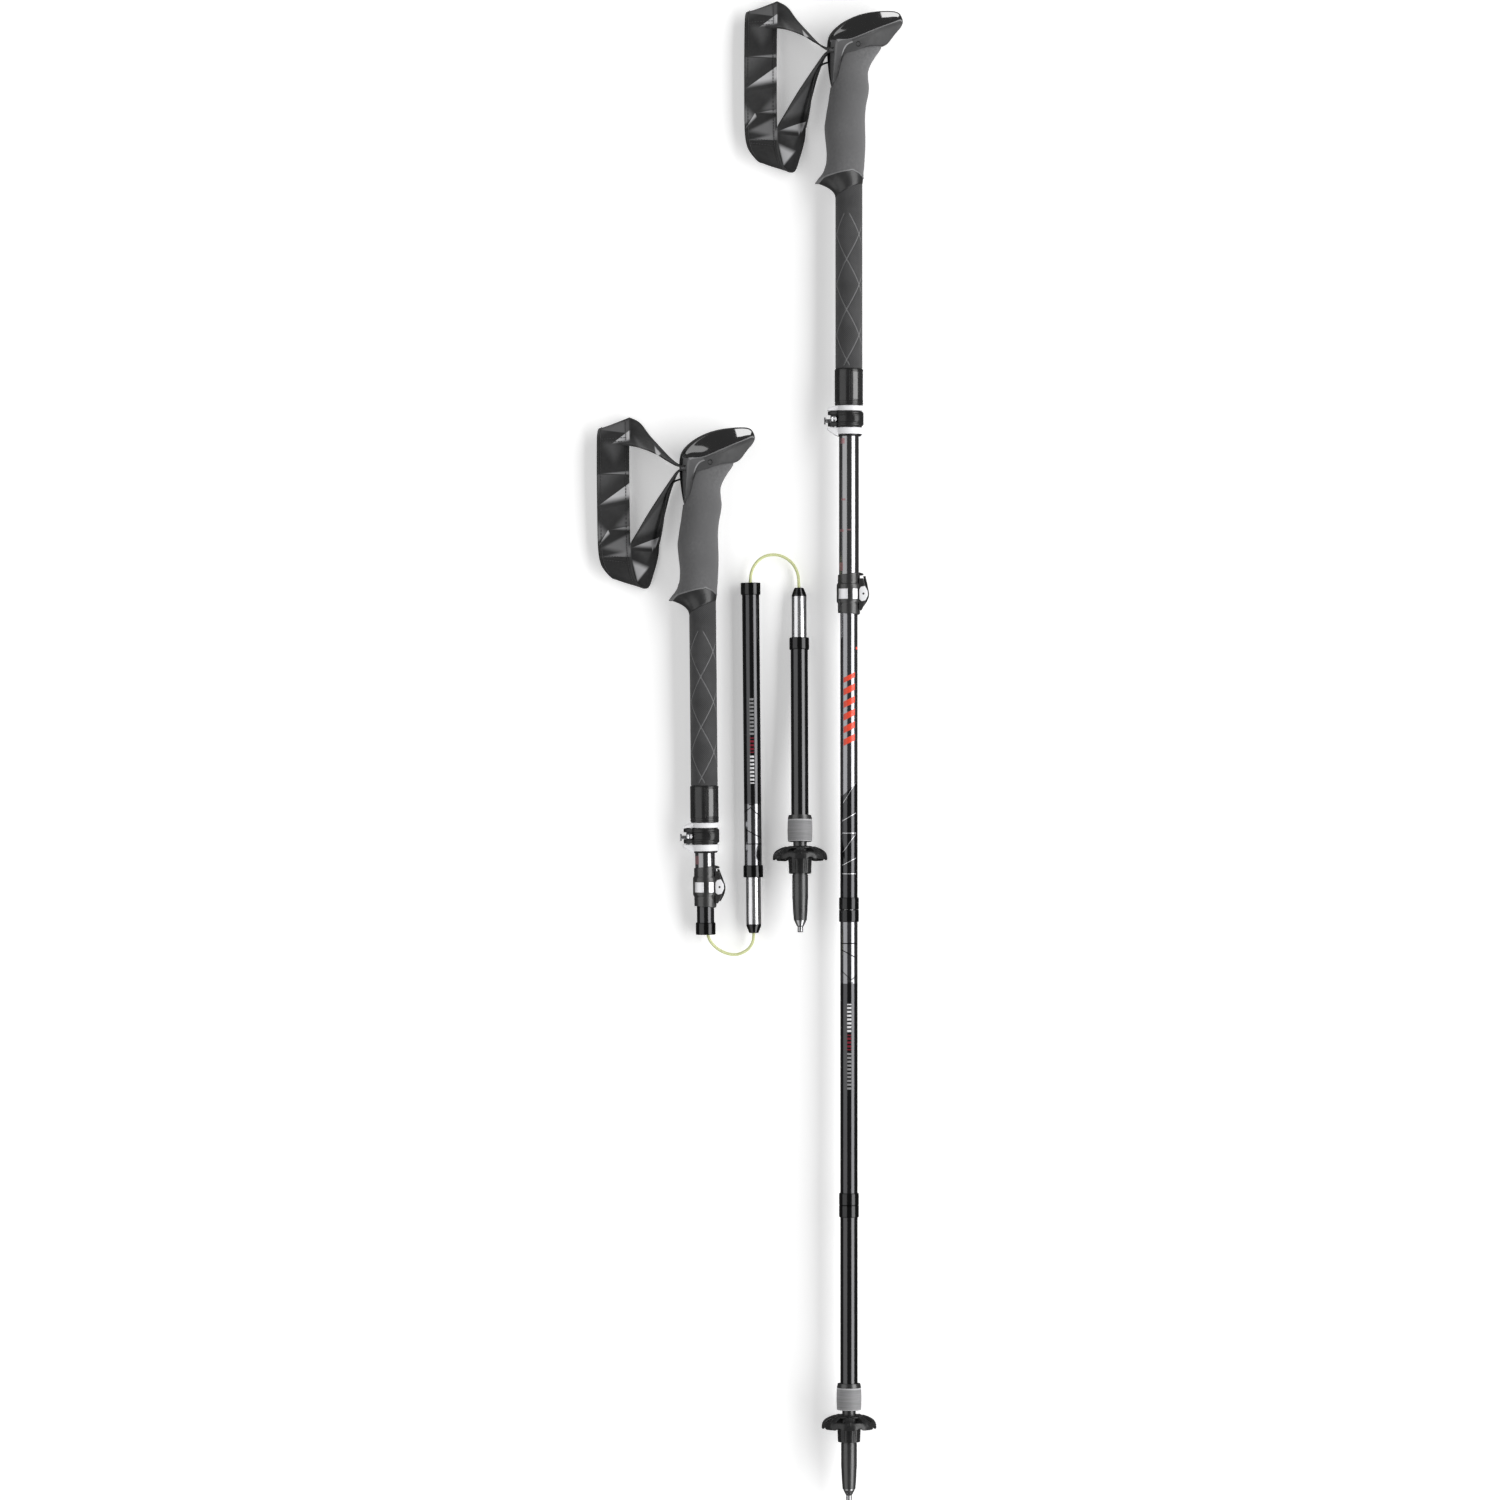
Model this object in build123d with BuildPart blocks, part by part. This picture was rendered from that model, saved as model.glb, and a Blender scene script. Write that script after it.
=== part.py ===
from build123d import *
from math import cos, pi, radians, sin, tan
import os

# A pair of folding trekking poles lying on a flat surface: one opened, one folded.
# Every piece is drawn in the frame of its own rigid section: +Z runs up the pole towards the
# grip, +X to the side of the beak, and -Y to the side that faces up when the pole lies down.

os.makedirs("parts", exist_ok=True)

# Shaft diameters, from the grip down: each tube runs inside the one above it.
handle_tube_outer = 18.0
upper_shaft_outer = 16.0
lower_shaft_outer = 14.0
spigot_outer = 12.0
running_gap = 0.1
spigot_wall = 1.2

# Heights of the handle, from the lower face of its clamp.
grip_top = 344.8
head_bottom = 303.0
lip_top = 212.0
lip_bottom = 191.6
clamp_top = 54.6
handle_tube_bottom = 3.0
handle_tube_top = 290.0
grip_sleeve_outer = 22.0
extension_outer = 21.8
strap_slot_height = 311.6
head_pin_x = 7.5
head_pin_height = 316.2
head_pin_radius = 1.6

# Heights inside the clamp, between the two light rings.
band_bottom = 2.4
lever_bottom = 7.6
lever_top = 20.2
band_top = 24.7
clamp_outer = 22.7
clamp_core = 20.8
band_outer = 23.0
lever_outer = 26.4
lever_pin_x = -13.5
lever_pin_y = -3.0
lever_pin_radius = 1.5
lever_barrel_radius = 2.8
lug_x = -13.0
screw_y = 3.2
screw_height = 12.7

# Rocker lock at the lower end of the upper shaft.
lock_height = 34.0
lock_outer = 19.8
plate_bottom = 12.6
plate_height = 8.4
plate_thickness = 0.5
rocker_pin_x = 11.6
rocker_pin_z = 16.9
rocker_pin_radius = 1.0
rocker_swing = 8.0
upper_shaft_top = 304.0

# Lower shafts and their end fittings.
collar_height = 9.8
collar_outer = 16.0
shaft_a_top = 298.0
shaft_b_length = 239.0
shaft_b_spigot = 38.0
shaft_c_length = 166.1
shaft_c_spigot = 33.4
spigot_depth = 35.0
nose_height = 7.2
cord_bore = 3.4

# Sprung tip.
shock_ring_height = 18.6
shock_ring_outer = 20.2
shock_core_outer = 18.4
tip_barrel = 12.8
barrel_bottom = 28.0
barrel_top = 46.4
basket_seat = 11.8
tip_stem_outer = 11.0
tip_stem_top = 105.0
basket_outer = 44.8
basket_top = 69.6
basket_rim = 58.3
hub_bottom = 47.4
carbide_top = 9.4
spring_wire = 1.2
spring_outer = 10.4
spring_height = 22.0
spring_turns = 6

# Wrist strap.
strap_width = 26.5
strap_thickness = 2.0

# Tension cord.
cord_diameter = 2.5

# Section offsets up the opened pole, from the carbide point to the foot of each section.
open_c = 72.9
open_b = 239.0
open_a = 478.2
open_upper = 716.9
open_handle = 861.4

# Section offsets up the folded pole, from the mouth of shaft A.
folded_upper = 21.8
folded_handle = 66.3

# Places of the four straight stretches on the surface: foot point, height and tilts.
open_foot = (80.1, -607.34, 22.68)
open_fall = 0.27
folded_handle_foot = (-35.9, -149.7, 10.4)
folded_handle_rise = 1.02
folded_handle_lean = 0.55
folded_b_foot = (0.4, 135.7, 8.2)
folded_b_lean = 0.55
folded_c_foot = (40.7, -147.3, 26.9)
folded_c_fall = 4.2
folded_c_lean = 0.19


def lying_plane(foot, rise, lean, toward=1):
    """The frame of a straight stretch that lies along +Y or, with toward=-1, along -Y."""
    run = toward * cos(radians(rise))
    return Plane(
        origin=foot,
        x_dir=(1, 0, 0),
        z_dir=(-toward * sin(radians(lean)), run, sin(radians(rise))),
    )


def turned(*outlines):
    """Rings turned about the pole's axis, one for each closed outline of (radius, height)."""
    with BuildPart() as rings:
        for outline in outlines:
            with BuildSketch(Plane.XZ):
                with BuildLine():
                    Polyline(*outline, close=True)
                make_face()
            revolve(axis=Axis.Z)
    return rings


def tube(outer, inner, bottom, top):
    """A plain tube between two heights."""
    with BuildPart() as pipe:
        with BuildSketch(Plane.XY.offset(bottom)):
            Circle(outer / 2)
            Circle(inner / 2, mode=Mode.SUBTRACT)
        extrude(amount=top - bottom)
    return pipe


def ovals(*stations):
    """Oval sections across the pole, each given as height, left, right and half depth."""
    sections = []
    for height, left, right, depth in stations:
        with BuildSketch(Plane.XY.offset(height)) as oval:
            with Locations(((left + right) / 2, 0)):
                Ellipse((right - left) / 2, depth)
        sections.append(oval.sketch.face())
    return sections


# ---------------------------------------------------------------- handle


def make_grip_frame():
    """Beaked head, sleeve over the handle tube and flared lower lip, in one moulding."""
    with BuildPart() as frame:
        with BuildSketch(Plane.XZ):
            with BuildLine():
                back = Spline(
                    (-17.4, head_bottom), (-17.4, 313), (-14.2, 327), (-7, 334), (5.4, 340), (20, 343.8),
                    (36, grip_top - 0.2),
                )
                nose = RadiusArc(back @ 1, (44.1, 335.5), 9.6)
                under = Spline(nose @ 1, (38.6, 327.6), (33.6, 319.8), (26, 314), (18.2, head_bottom))
                Line(under @ 1, back @ 0)
            make_face()
        extrude(amount=20, both=True)
        with BuildSketch(Plane.YZ):
            with BuildLine():
                side = Spline(
                    (-15.2, head_bottom), (-16.8, 318), (-16.2, 332), (-10, 343), (0, grip_top + 0.6),
                    (10, 343), (16.2, 332), (16.8, 318), (15.2, head_bottom),
                )
                Line(side @ 1, side @ 0)
            make_face()
        extrude(amount=50, both=True, mode=Mode.INTERSECT)
        with BuildSketch(Plane.XY.offset(head_bottom)):
            Ellipse(18.2, 17.0)
            with Locations((28, 0)):
                Ellipse(17.0, 10.0)
            with Locations((16, 0)):
                Rectangle(20, 23.0)
        extrude(amount=50, mode=Mode.INTERSECT)
        with BuildSketch(Plane.XY.offset(lip_bottom)):
            Circle(grip_sleeve_outer / 2)
        extrude(amount=head_bottom - lip_bottom)
        loft(ovals(
            (lip_bottom, -12.2, 11.7, 11.9), (198, -18, 11.9, 13), (204.5, -27.2, 12, 14.6),
            (lip_top, -21, 12.1, 14.4),
        ), ruled=True)
        with BuildSketch(Plane.XY.offset(lip_bottom)):
            Circle(handle_tube_outer / 2)
        extrude(amount=handle_tube_top - lip_bottom, mode=Mode.SUBTRACT)
        with Locations((-15.5, 0, strap_slot_height)):
            Box(13, 27, 6, mode=Mode.SUBTRACT)
        with BuildSketch(Plane.XZ):
            with Locations((head_pin_x, head_pin_height)):
                Circle(head_pin_radius)
        extrude(amount=20, both=True, mode=Mode.SUBTRACT)
    return frame


def make_grip_foam():
    """Soft grip sleeve, thicker under the heel of the hand."""
    with BuildPart() as foam:
        loft(ovals(
            (lip_top, -20.8, 12.1, 14.3), (222, -18.4, 12.7, 14.5), (234, -18.4, 13.3, 15.0),
            (250, -19.6, 13.3, 15.4), (263, -18.1, 13.6, 15.0), (277, -15.7, 15.7, 14.5),
            (290, -15.8, 15.8, 14.6), (head_bottom, -17.2, 18.0, 15.2),
        ))
        with BuildSketch(Plane.XY.offset(lip_top)):
            Circle(grip_sleeve_outer / 2)
        extrude(amount=head_bottom - lip_top, mode=Mode.SUBTRACT)
    return foam


def make_wrist_strap():
    """Webbing loop: out of the head, down as a flat band, folded back and in again."""
    stations = [
        ((-9.5, 0, 313.6), (0, 1, 0), (-1, 0, 0)),
        ((-18.5, 0, 313.6), (0, 1, 0), (-1, 0, 0)),
        ((-29, 2.0, 319.5), (0.41, 0.707, 0.57), (-0.81, 0, 0.58)),
        ((-42, 6.0, 329), (0.55, 0.25, 0.78), (-0.8, 0.2, 0.57)),
        ((-56, 10.5, 339), (0.62, 0, 0.78), (-0.78, 0.2, 0.6)),
        ((-67.5, 12.0, 343.5), (0.943, 0, 0.331), (-0.331, 0, 0.943)),
        ((-69, 9.5, 348.0), (0.943, 0, 0.331), (0, -1, 0)),
        ((-69.4, 7.0, 343.5), (0.943, 0, 0.331), (0.331, 0, -0.943)),
        ((-71.3, 6.5, 325), (1, 0, 0), (0, 0, -1)),
        ((-71.3, 6.0, 285), (1, 0, 0), (0, 0, -1)),
        ((-70.9, 6.6, 248), (1, 0, 0), (0, 0, -1)),
        ((-68.5, 7.0, 232), (0.96, 0, -0.28), (-0.28, 0, -0.96)),
        ((-63.0, 9.5, 222.5), (0.92, 0, -0.39), (0, 1, 0)),
        ((-56.0, 12.0, 229), (0.94, 0, -0.34), (0.34, 0, 0.94)),
        ((-52.0, 12.0, 238), (0.94, 0, -0.34), (0.34, 0, 0.94)),
        ((-45.0, 11.0, 258), (0.93, 0, -0.37), (0.37, 0, 0.93)),
        ((-35.5, 6.5, 281), (0.72, 0.6, -0.34), (0.42, -0.1, 0.9)),
        ((-25, 1.5, 301), (0.2, 0.97, -0.1), (0.5, -0.1, 0.86)),
        ((-18.5, 0, 309.6), (0, 1, 0), (1, 0, 0)),
        ((-9.5, 0, 309.6), (0, 1, 0), (1, 0, 0)),
    ]
    with BuildPart() as strap:
        for centre, across, along in stations:
            with BuildSketch(Plane(origin=centre, x_dir=across, z_dir=along)):
                Rectangle(strap_width, strap_thickness)
        loft(ruled=True)
    return strap


def make_strap_lock():
    """Wedge between the two strap ends, and the cross pin through the head."""
    with BuildPart() as lock:
        with Locations((-13, 0, strap_slot_height)):
            Box(6, 24, 2)
        with BuildSketch(Plane.XZ.offset(-13.0)):
            with Locations((head_pin_x, head_pin_height)):
                Circle(head_pin_radius)
        extrude(amount=26.0)
    return lock


def make_extension_foam():
    """Lower foam sleeve for a shorter hold."""
    return tube(extension_outer, handle_tube_outer, clamp_top, lip_bottom)


def make_handle_tube():
    """Tube inside the grip that the upper shaft runs in."""
    bore = upper_shaft_outer + 2 * running_gap
    return tube(handle_tube_outer, bore, handle_tube_bottom, handle_tube_top)


def make_clamp_sleeve():
    """Black sleeve of the length clamp, narrower where the clamp band sits."""
    mouth = upper_shaft_outer / 2 + running_gap
    seat = handle_tube_outer / 2
    core = clamp_core / 2
    outer = clamp_outer / 2
    return turned([
        (mouth, 0), (core - 0.9, 0), (core, 1.0), (core, band_top), (outer - 0.4, band_top),
        (outer, band_top + 0.4), (outer, clamp_top - 0.6), (outer - 0.6, clamp_top),
        (seat, clamp_top), (seat, handle_tube_bottom), (mouth, handle_tube_bottom),
    ])


def make_clamp_band():
    """Two light rings joined behind by a bridge, with lugs for the lever pin."""
    with BuildPart() as band:
        for bottom, top in ((band_bottom, lever_bottom - 0.4), (lever_top + 0.4, band_top)):
            with BuildSketch(Plane.XY.offset(bottom)):
                Circle(band_outer / 2)
                with Locations((lever_pin_x, lever_pin_y)):
                    Circle(lever_barrel_radius)
                with Locations((lever_pin_x + 2, lever_pin_y + 1)):
                    Rectangle(4, 4)
                with Locations((lug_x, screw_y)):
                    Rectangle(8.4, 5.6)
                Circle(clamp_core / 2, mode=Mode.SUBTRACT)
                with Locations((lever_pin_x, lever_pin_y)):
                    Circle(lever_pin_radius, mode=Mode.SUBTRACT)
            extrude(amount=top - bottom)
        with BuildSketch(Plane.XY.offset(lever_bottom - 0.6)):
            with Locations((lug_x, screw_y)):
                Rectangle(8.4, 5.6)
            with Locations((0, 8)):
                Rectangle(18, 8)
            Circle(band_outer / 2, mode=Mode.INTERSECT)
            with Locations((lug_x, screw_y)):
                Rectangle(8.4, 5.6)
            Circle(clamp_core / 2, mode=Mode.SUBTRACT)
        extrude(amount=lever_top - lever_bottom + 1.2)
        with BuildSketch(Plane.YZ.offset(-18)):
            with Locations((screw_y, screw_height)):
                Circle(1.5)
        extrude(amount=6.0, mode=Mode.SUBTRACT)
    return band


def make_clamp_screw():
    """Lever pin along the pole, and the tension screw across it."""
    with BuildPart() as screw:
        with BuildSketch(Plane.XY.offset(band_bottom)):
            with Locations((lever_pin_x, lever_pin_y)):
                Circle(lever_pin_radius)
        extrude(amount=band_top - band_bottom)
        with BuildSketch(Plane.YZ.offset(-19.2)):
            with Locations((screw_y, screw_height)):
                RegularPolygon(3.3, 12)
        extrude(amount=2.0)
        with BuildSketch(Plane.YZ.offset(-17.2)):
            with Locations((screw_y, screw_height)):
                Circle(1.5)
        extrude(amount=5.2)
    return screw


def make_clamp_lever():
    """Curved cam lever: a barrel on the pin and an arm wrapped over the front."""
    with BuildPart() as lever:
        with BuildSketch(Plane.XY.offset(lever_bottom)):
            with BuildLine():
                inner = CenterArc((0, 0), clamp_core / 2 + 0.4, 200, 148)
                outer = CenterArc((0, 0), lever_outer / 2, 200, 148)
                Line(inner @ 0, outer @ 0)
                Line(inner @ 1, outer @ 1)
            make_face()
            with Locations((lever_pin_x, lever_pin_y)):
                Circle(lever_barrel_radius)
            with Locations((13.0, -3.4)):
                Rectangle(1.6, 3.4, rotation=-12)
            with Locations((lever_pin_x, lever_pin_y)):
                Circle(lever_pin_radius + running_gap, mode=Mode.SUBTRACT)
        extrude(amount=lever_top - lever_bottom)
    return lever


# ---------------------------------------------------------------- upper shaft and its lock


def make_upper_shaft():
    """Middle telescopic tube."""
    return tube(upper_shaft_outer, lower_shaft_outer + 2 * running_gap, 3.0, upper_shaft_top)


def make_lock_body():
    """Lock housing: a sleeve on the upper shaft with a slotted boss for the rocker."""
    mouth = lower_shaft_outer / 2 + running_gap
    seat = upper_shaft_outer / 2
    outer = lock_outer / 2
    with BuildPart() as body:
        with BuildSketch(Plane.XZ):
            with BuildLine():
                Polyline(
                    (mouth, 0), (outer - 0.8, 0), (outer, 1.4), (outer, lock_height - 1.2),
                    (outer - 0.8, lock_height), (seat, lock_height), (seat, 3), (mouth, 3),
                    close=True,
                )
            make_face()
        revolve(axis=Axis.Z)
        with BuildSketch(Plane.XZ):
            with BuildLine():
                Polyline(
                    (seat + 0.5, 3.4), (10.4, 3.4), (13.2, 9), (14, 16), (13.4, 23), (11.6, 29.5),
                    (seat + 0.5, 29.5), close=True,
                )
            make_face()
        extrude(amount=6.0, both=True)
        with BuildSketch(Plane.XY):
            Circle(upper_shaft_outer / 2)
        extrude(amount=lock_height, mode=Mode.SUBTRACT)
        with BuildSketch(Plane.XY):
            Circle(lock_outer / 2 - 0.5)
            Circle(mouth, mode=Mode.SUBTRACT)
        extrude(amount=3.0)
        with Locations((15, 0, 19)):
            Box(12, 7.8, 30.2, mode=Mode.SUBTRACT)
        with BuildSketch(Plane.XZ):
            with Locations((rocker_pin_x, rocker_pin_z)):
                Circle(rocker_pin_radius)
        extrude(amount=10, both=True, mode=Mode.SUBTRACT)
    return body


def make_lock_plates():
    """Bright plates round the lock, the two side caps and the axle of the rocker."""
    with BuildPart() as plates:
        for start, sweep_angle in ((216, 48), (285, 26), (49, 26), (96, 48)):
            with BuildSketch(Plane.XY.offset(plate_bottom)):
                with BuildLine():
                    inner = CenterArc((0, 0), lock_outer / 2, start, sweep_angle)
                    outer = CenterArc((0, 0), lock_outer / 2 + plate_thickness, start, sweep_angle)
                    Line(inner @ 0, outer @ 0)
                    Line(inner @ 1, outer @ 1)
                make_face()
            extrude(amount=plate_height)
        for face in (-6.8, 6.0):
            with BuildSketch(Plane.XZ.offset(-face - 0.8)):
                with Locations((rocker_pin_x, rocker_pin_z)):
                    Ellipse(3.6, 6.4)
            extrude(amount=0.8)
        with BuildSketch(Plane.XZ.offset(-7.1)):
            with Locations((rocker_pin_x, rocker_pin_z)):
                Circle(rocker_pin_radius)
        extrude(amount=14.2)
    return plates


def make_rocker(pressed):
    """Rocker of the lock, with its upper flap standing off, or pressed in."""
    with BuildPart() as rocker:
        with BuildSketch(Plane.XZ):
            with BuildLine():
                outside = Spline(
                    (10.6, 5.2), (13.2, 8.4), (15.4, 12.4), (16.3, 16.4), (15.7, 20.6), (14.8, 25),
                    (13.4, 31.2),
                )
                Polyline(
                    outside @ 1, (11.7, 31.2), (12.2, 27), (12.0, 22.4), (9.8, 18.6), (9.7, 13.5),
                    (9.9, 5.2), outside @ 0,
                )
            make_face()
            with Locations((rocker_pin_x, rocker_pin_z)):
                Circle(rocker_pin_radius + running_gap, mode=Mode.SUBTRACT)
        extrude(amount=3.5, both=True)
    if pressed:
        axle = Axis((rocker_pin_x, 0, rocker_pin_z), (0, 1, 0))
        rocker.part = rocker.part.rotate(axle, -rocker_swing)
    return rocker


# ---------------------------------------------------------------- lower shafts


def mouth_collar(bottom):
    """Outline of a collar round the lower, open end of a shaft."""
    seat = lower_shaft_outer / 2
    mouth = spigot_outer / 2 + running_gap
    outer = collar_outer / 2
    top = bottom + collar_height
    return [
        (mouth, bottom), (outer - 0.4, bottom), (outer, bottom + 0.4), (outer, top - 0.5),
        (outer - 0.5, top), (seat, top), (seat, bottom + 1), (mouth, bottom + 1),
    ]


def neck_collar(top):
    """Outline of a collar round the upper end of a shaft, closed in to its spigot."""
    seat = lower_shaft_outer / 2
    neck = spigot_outer / 2
    outer = collar_outer / 2
    bottom = top - collar_height
    return [
        (seat, bottom), (outer - 0.5, bottom), (outer, bottom + 0.5), (outer, top - 0.4),
        (outer - 0.4, top), (neck, top), (neck, top - 1), (seat, top - 1),
    ]


def nose_cone(bottom):
    """Outline of the nose on top of a spigot, bored for the cord."""
    bore = cord_bore / 2
    stem = spigot_outer / 2 - spigot_wall
    outer = spigot_outer / 2
    top = bottom + nose_height
    return [
        (bore, bottom - 8), (stem, bottom - 8), (stem, bottom), (outer, bottom),
        (outer, bottom + 1.4), (3.9, top - 0.4), (3.5, top), (bore, top),
    ]


def lower_shaft(bottom, top):
    """A shaft tube whose bore takes the spigot of the shaft below."""
    return tube(lower_shaft_outer, spigot_outer + 2 * running_gap, bottom, top)


def make_spigot(shaft_top, length):
    """Bright tube that plugs into the shaft above."""
    bore = spigot_outer - 2 * spigot_wall
    return tube(spigot_outer, bore, shaft_top - spigot_depth, shaft_top + length)


def make_spring_seat(bottom):
    """Outline of the seat in shaft C that the tip's spring pushes on."""
    return [
        (cord_bore / 2, bottom), (spigot_outer / 2 + running_gap, bottom),
        (spigot_outer / 2 + running_gap, bottom + 6), (cord_bore / 2, bottom + 6),
    ]


# ---------------------------------------------------------------- sprung tip

stem_top_in_c = tip_stem_top - open_c
spring_bottom = stem_top_in_c + 0.05
housing_bottom = 0.4


def make_shock_housing():
    """Black housing at the foot of shaft C, with a lip that guides the tip's stem."""
    seat = lower_shaft_outer / 2
    core = shock_core_outer / 2
    guide = tip_stem_outer / 2 + running_gap
    return turned([
        (guide, housing_bottom), (core, housing_bottom), (core, shock_ring_height),
        (core + 0.65, shock_ring_height), (core - 0.05, shock_ring_height + 3.3),
        (seat, shock_ring_height + 3.3), (seat, 2), (guide, 2),
    ])


def make_shock_ring():
    """Grey barrel ring over the housing."""
    core = shock_core_outer / 2
    with BuildPart() as ring:
        with BuildSketch(Plane.XZ):
            with BuildLine():
                rim = ThreePointArc(
                    (core + 0.6, 0.6), (shock_ring_outer / 2, shock_ring_height / 2),
                    (core + 0.6, shock_ring_height - 0.2),
                )
                Polyline(rim @ 0, (core, 0.6), (core, shock_ring_height - 0.2), rim @ 1)
            make_face()
        revolve(axis=Axis.Z)
    return ring


def make_shock_spring():
    """Coil spring between the tip's stem and its seat."""
    radius = (spring_outer - spring_wire) / 2
    height = spring_height - spring_wire
    with BuildPart() as spring:
        with BuildLine():
            coil = Helix(height / spring_turns, height, radius, center=(0, 0, spring_bottom + spring_wire / 2))
        with BuildSketch(Plane(origin=coil @ 0, z_dir=coil % 0)):
            Circle(spring_wire / 2)
        sweep(is_frenet=True)
    return spring


def make_flex_tip():
    """Flexible tip: stem, basket seat and tapered shank."""
    barrel = tip_barrel / 2
    seat = basket_seat / 2
    stem = tip_stem_outer / 2
    return turned([
        (0, 20), (2.2, 20), (2.2, carbide_top), (5.2, carbide_top), (5.8, 16.2), (6.15, 24.3),
        (barrel, barrel_bottom), (barrel, barrel_top), (seat, barrel_top), (seat, basket_top),
        (stem, basket_top), (stem, tip_stem_top - 0.8), (stem - 0.8, tip_stem_top), (0, tip_stem_top),
    ])


def make_basket():
    """Drooping basket with a scalloped rim, windows and a threaded hub."""
    seat = basket_seat / 2
    rim = basket_outer / 2
    with BuildPart() as basket:
        with BuildSketch(Plane.XZ):
            with BuildLine():
                over = Spline((9.4, basket_top), (14, 68.2), (19, 64.4), (rim, basket_rim + 1))
                under = Spline((rim - 1.8, basket_rim), (17, 63), (13, 66), (9.7, 66.6))
                Line(over @ 1, under @ 0)
                Polyline(
                    under @ 1, (9.7, 57.8), (9.2, hub_bottom), (seat, hub_bottom),
                    (seat, basket_top), over @ 0,
                )
            make_face()
        revolve(axis=Axis.Z)
        with BuildSketch(Plane.XY.offset(basket_rim - 2)):
            with PolarLocations(rim + 2.6, 8, start_angle=22.5):
                Circle(4.2)
            with PolarLocations(15.4, 8):
                SlotOverall(6.4, 3.0)
        extrude(amount=16, mode=Mode.SUBTRACT)
    return basket


def make_carbide_tip():
    """Hollow-ground hard point set in the flexible tip."""
    return turned([
        (0, 1.2), (1.9, 0), (2.25, 0.5), (2.25, 4.2), (2.9, 5.2), (4.6, 8.6), (4.6, carbide_top),
        (2.2, carbide_top), (2.2, 20), (0, 20),
    ])


# ---------------------------------------------------------------- tension cord


def corner_radii(route):
    """Largest tangent arcs that the runs of a route leave room for, one for each corner."""
    radii = []
    for before, corner, after in zip(route, route[1:], route[2:]):
        arriving = Vector(*corner) - Vector(*before)
        leaving = Vector(*after) - Vector(*corner)
        half_turn = radians(arriving.get_angle(leaving)) / 2
        radii.append(0.45 * min(arriving.length, leaving.length) / tan(half_turn))
    return radii


def make_cord(name, route):
    """A round cord along straight runs joined by tangent arcs."""
    radii = corner_radii(route)
    with BuildPart() as cord:
        with BuildLine():
            path = FilletPolyline(*route, radius=radii)
        with BuildSketch(Plane(origin=path @ 0, z_dir=path % 0)):
            Circle(cord_diameter / 2)
        sweep()
    section = pi * cord_diameter**2 / 4
    print(name, "radii", [round(radius, 1) for radius in radii], "length", round(path.length, 1),
          "volume ratio", round(cord.part.volume / (section * path.length), 4))
    return cord


# ---------------------------------------------------------------- the two poles

open_plane = lying_plane(open_foot, -open_fall, 0)
folded_handle_plane = lying_plane(folded_handle_foot, folded_handle_rise, folded_handle_lean)
folded_b_plane = lying_plane(folded_b_foot, 0, folded_b_lean, toward=-1)
folded_c_plane = lying_plane(folded_c_foot, -folded_c_fall, folded_c_lean)

pole_planes = {
    "open": {
        "handle": open_plane.offset(open_handle),
        "upper": open_plane.offset(open_upper),
        "a": open_plane.offset(open_a),
        "b": open_plane.offset(open_b),
        "c": open_plane.offset(open_c),
        "tip": open_plane,
    },
    "folded": {
        "handle": folded_handle_plane.offset(folded_handle),
        "upper": folded_handle_plane.offset(folded_upper),
        "a": folded_handle_plane,
        "b": folded_b_plane,
        "c": folded_c_plane.offset(open_c),
        "tip": folded_c_plane,
    },
}


def place(piece, label, plane):
    """Lays a finished piece on its section's plane and writes it."""
    piece.part = piece.part.moved(plane.location)
    piece.part.label = label
    export_step(piece.part, f"parts/{label}.step")


for pole, planes in pole_planes.items():
    pieces = {
        "grip_frame": ("handle", make_grip_frame()),
        "grip_foam": ("handle", make_grip_foam()),
        "wrist_strap": ("handle", make_wrist_strap()),
        "strap_lock": ("handle", make_strap_lock()),
        "extension_foam": ("handle", make_extension_foam()),
        "handle_tube": ("handle", make_handle_tube()),
        "clamp_sleeve": ("handle", make_clamp_sleeve()),
        "clamp_band": ("handle", make_clamp_band()),
        "clamp_screw": ("handle", make_clamp_screw()),
        "clamp_lever": ("handle", make_clamp_lever()),
        "upper_shaft": ("upper", make_upper_shaft()),
        "lock_body": ("upper", make_lock_body()),
        "lock_plates": ("upper", make_lock_plates()),
        "lock_rocker": ("upper", make_rocker(pressed=pole == "folded")),
        "shaft_a": ("a", lower_shaft(1.0, shaft_a_top)),
        "shaft_a_collar": ("a", turned(mouth_collar(0))),
        "shaft_b": ("b", lower_shaft(1.0, shaft_b_length - 1)),
        "shaft_b_spigot": ("b", make_spigot(shaft_b_length, shaft_b_spigot)),
        "shaft_b_fittings": ("b", turned(
            mouth_collar(0), neck_collar(shaft_b_length), nose_cone(shaft_b_length + shaft_b_spigot),
        )),
        "shaft_c": ("c", lower_shaft(2.0, shaft_c_length - 1)),
        "shaft_c_spigot": ("c", make_spigot(shaft_c_length, shaft_c_spigot)),
        "shaft_c_fittings": ("c", turned(
            neck_collar(shaft_c_length), nose_cone(shaft_c_length + shaft_c_spigot),
            make_spring_seat(spring_bottom + spring_height),
        )),
        "shock_housing": ("c", make_shock_housing()),
        "shock_ring": ("c", make_shock_ring()),
        "shock_spring": ("c", make_shock_spring()),
        "flex_tip": ("tip", make_flex_tip()),
        "basket": ("tip", make_basket()),
        "carbide_tip": ("tip", make_carbide_tip()),
    }
    for name, (section, piece) in pieces.items():
        place(piece, f"{pole}_{name}", planes[section])

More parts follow.
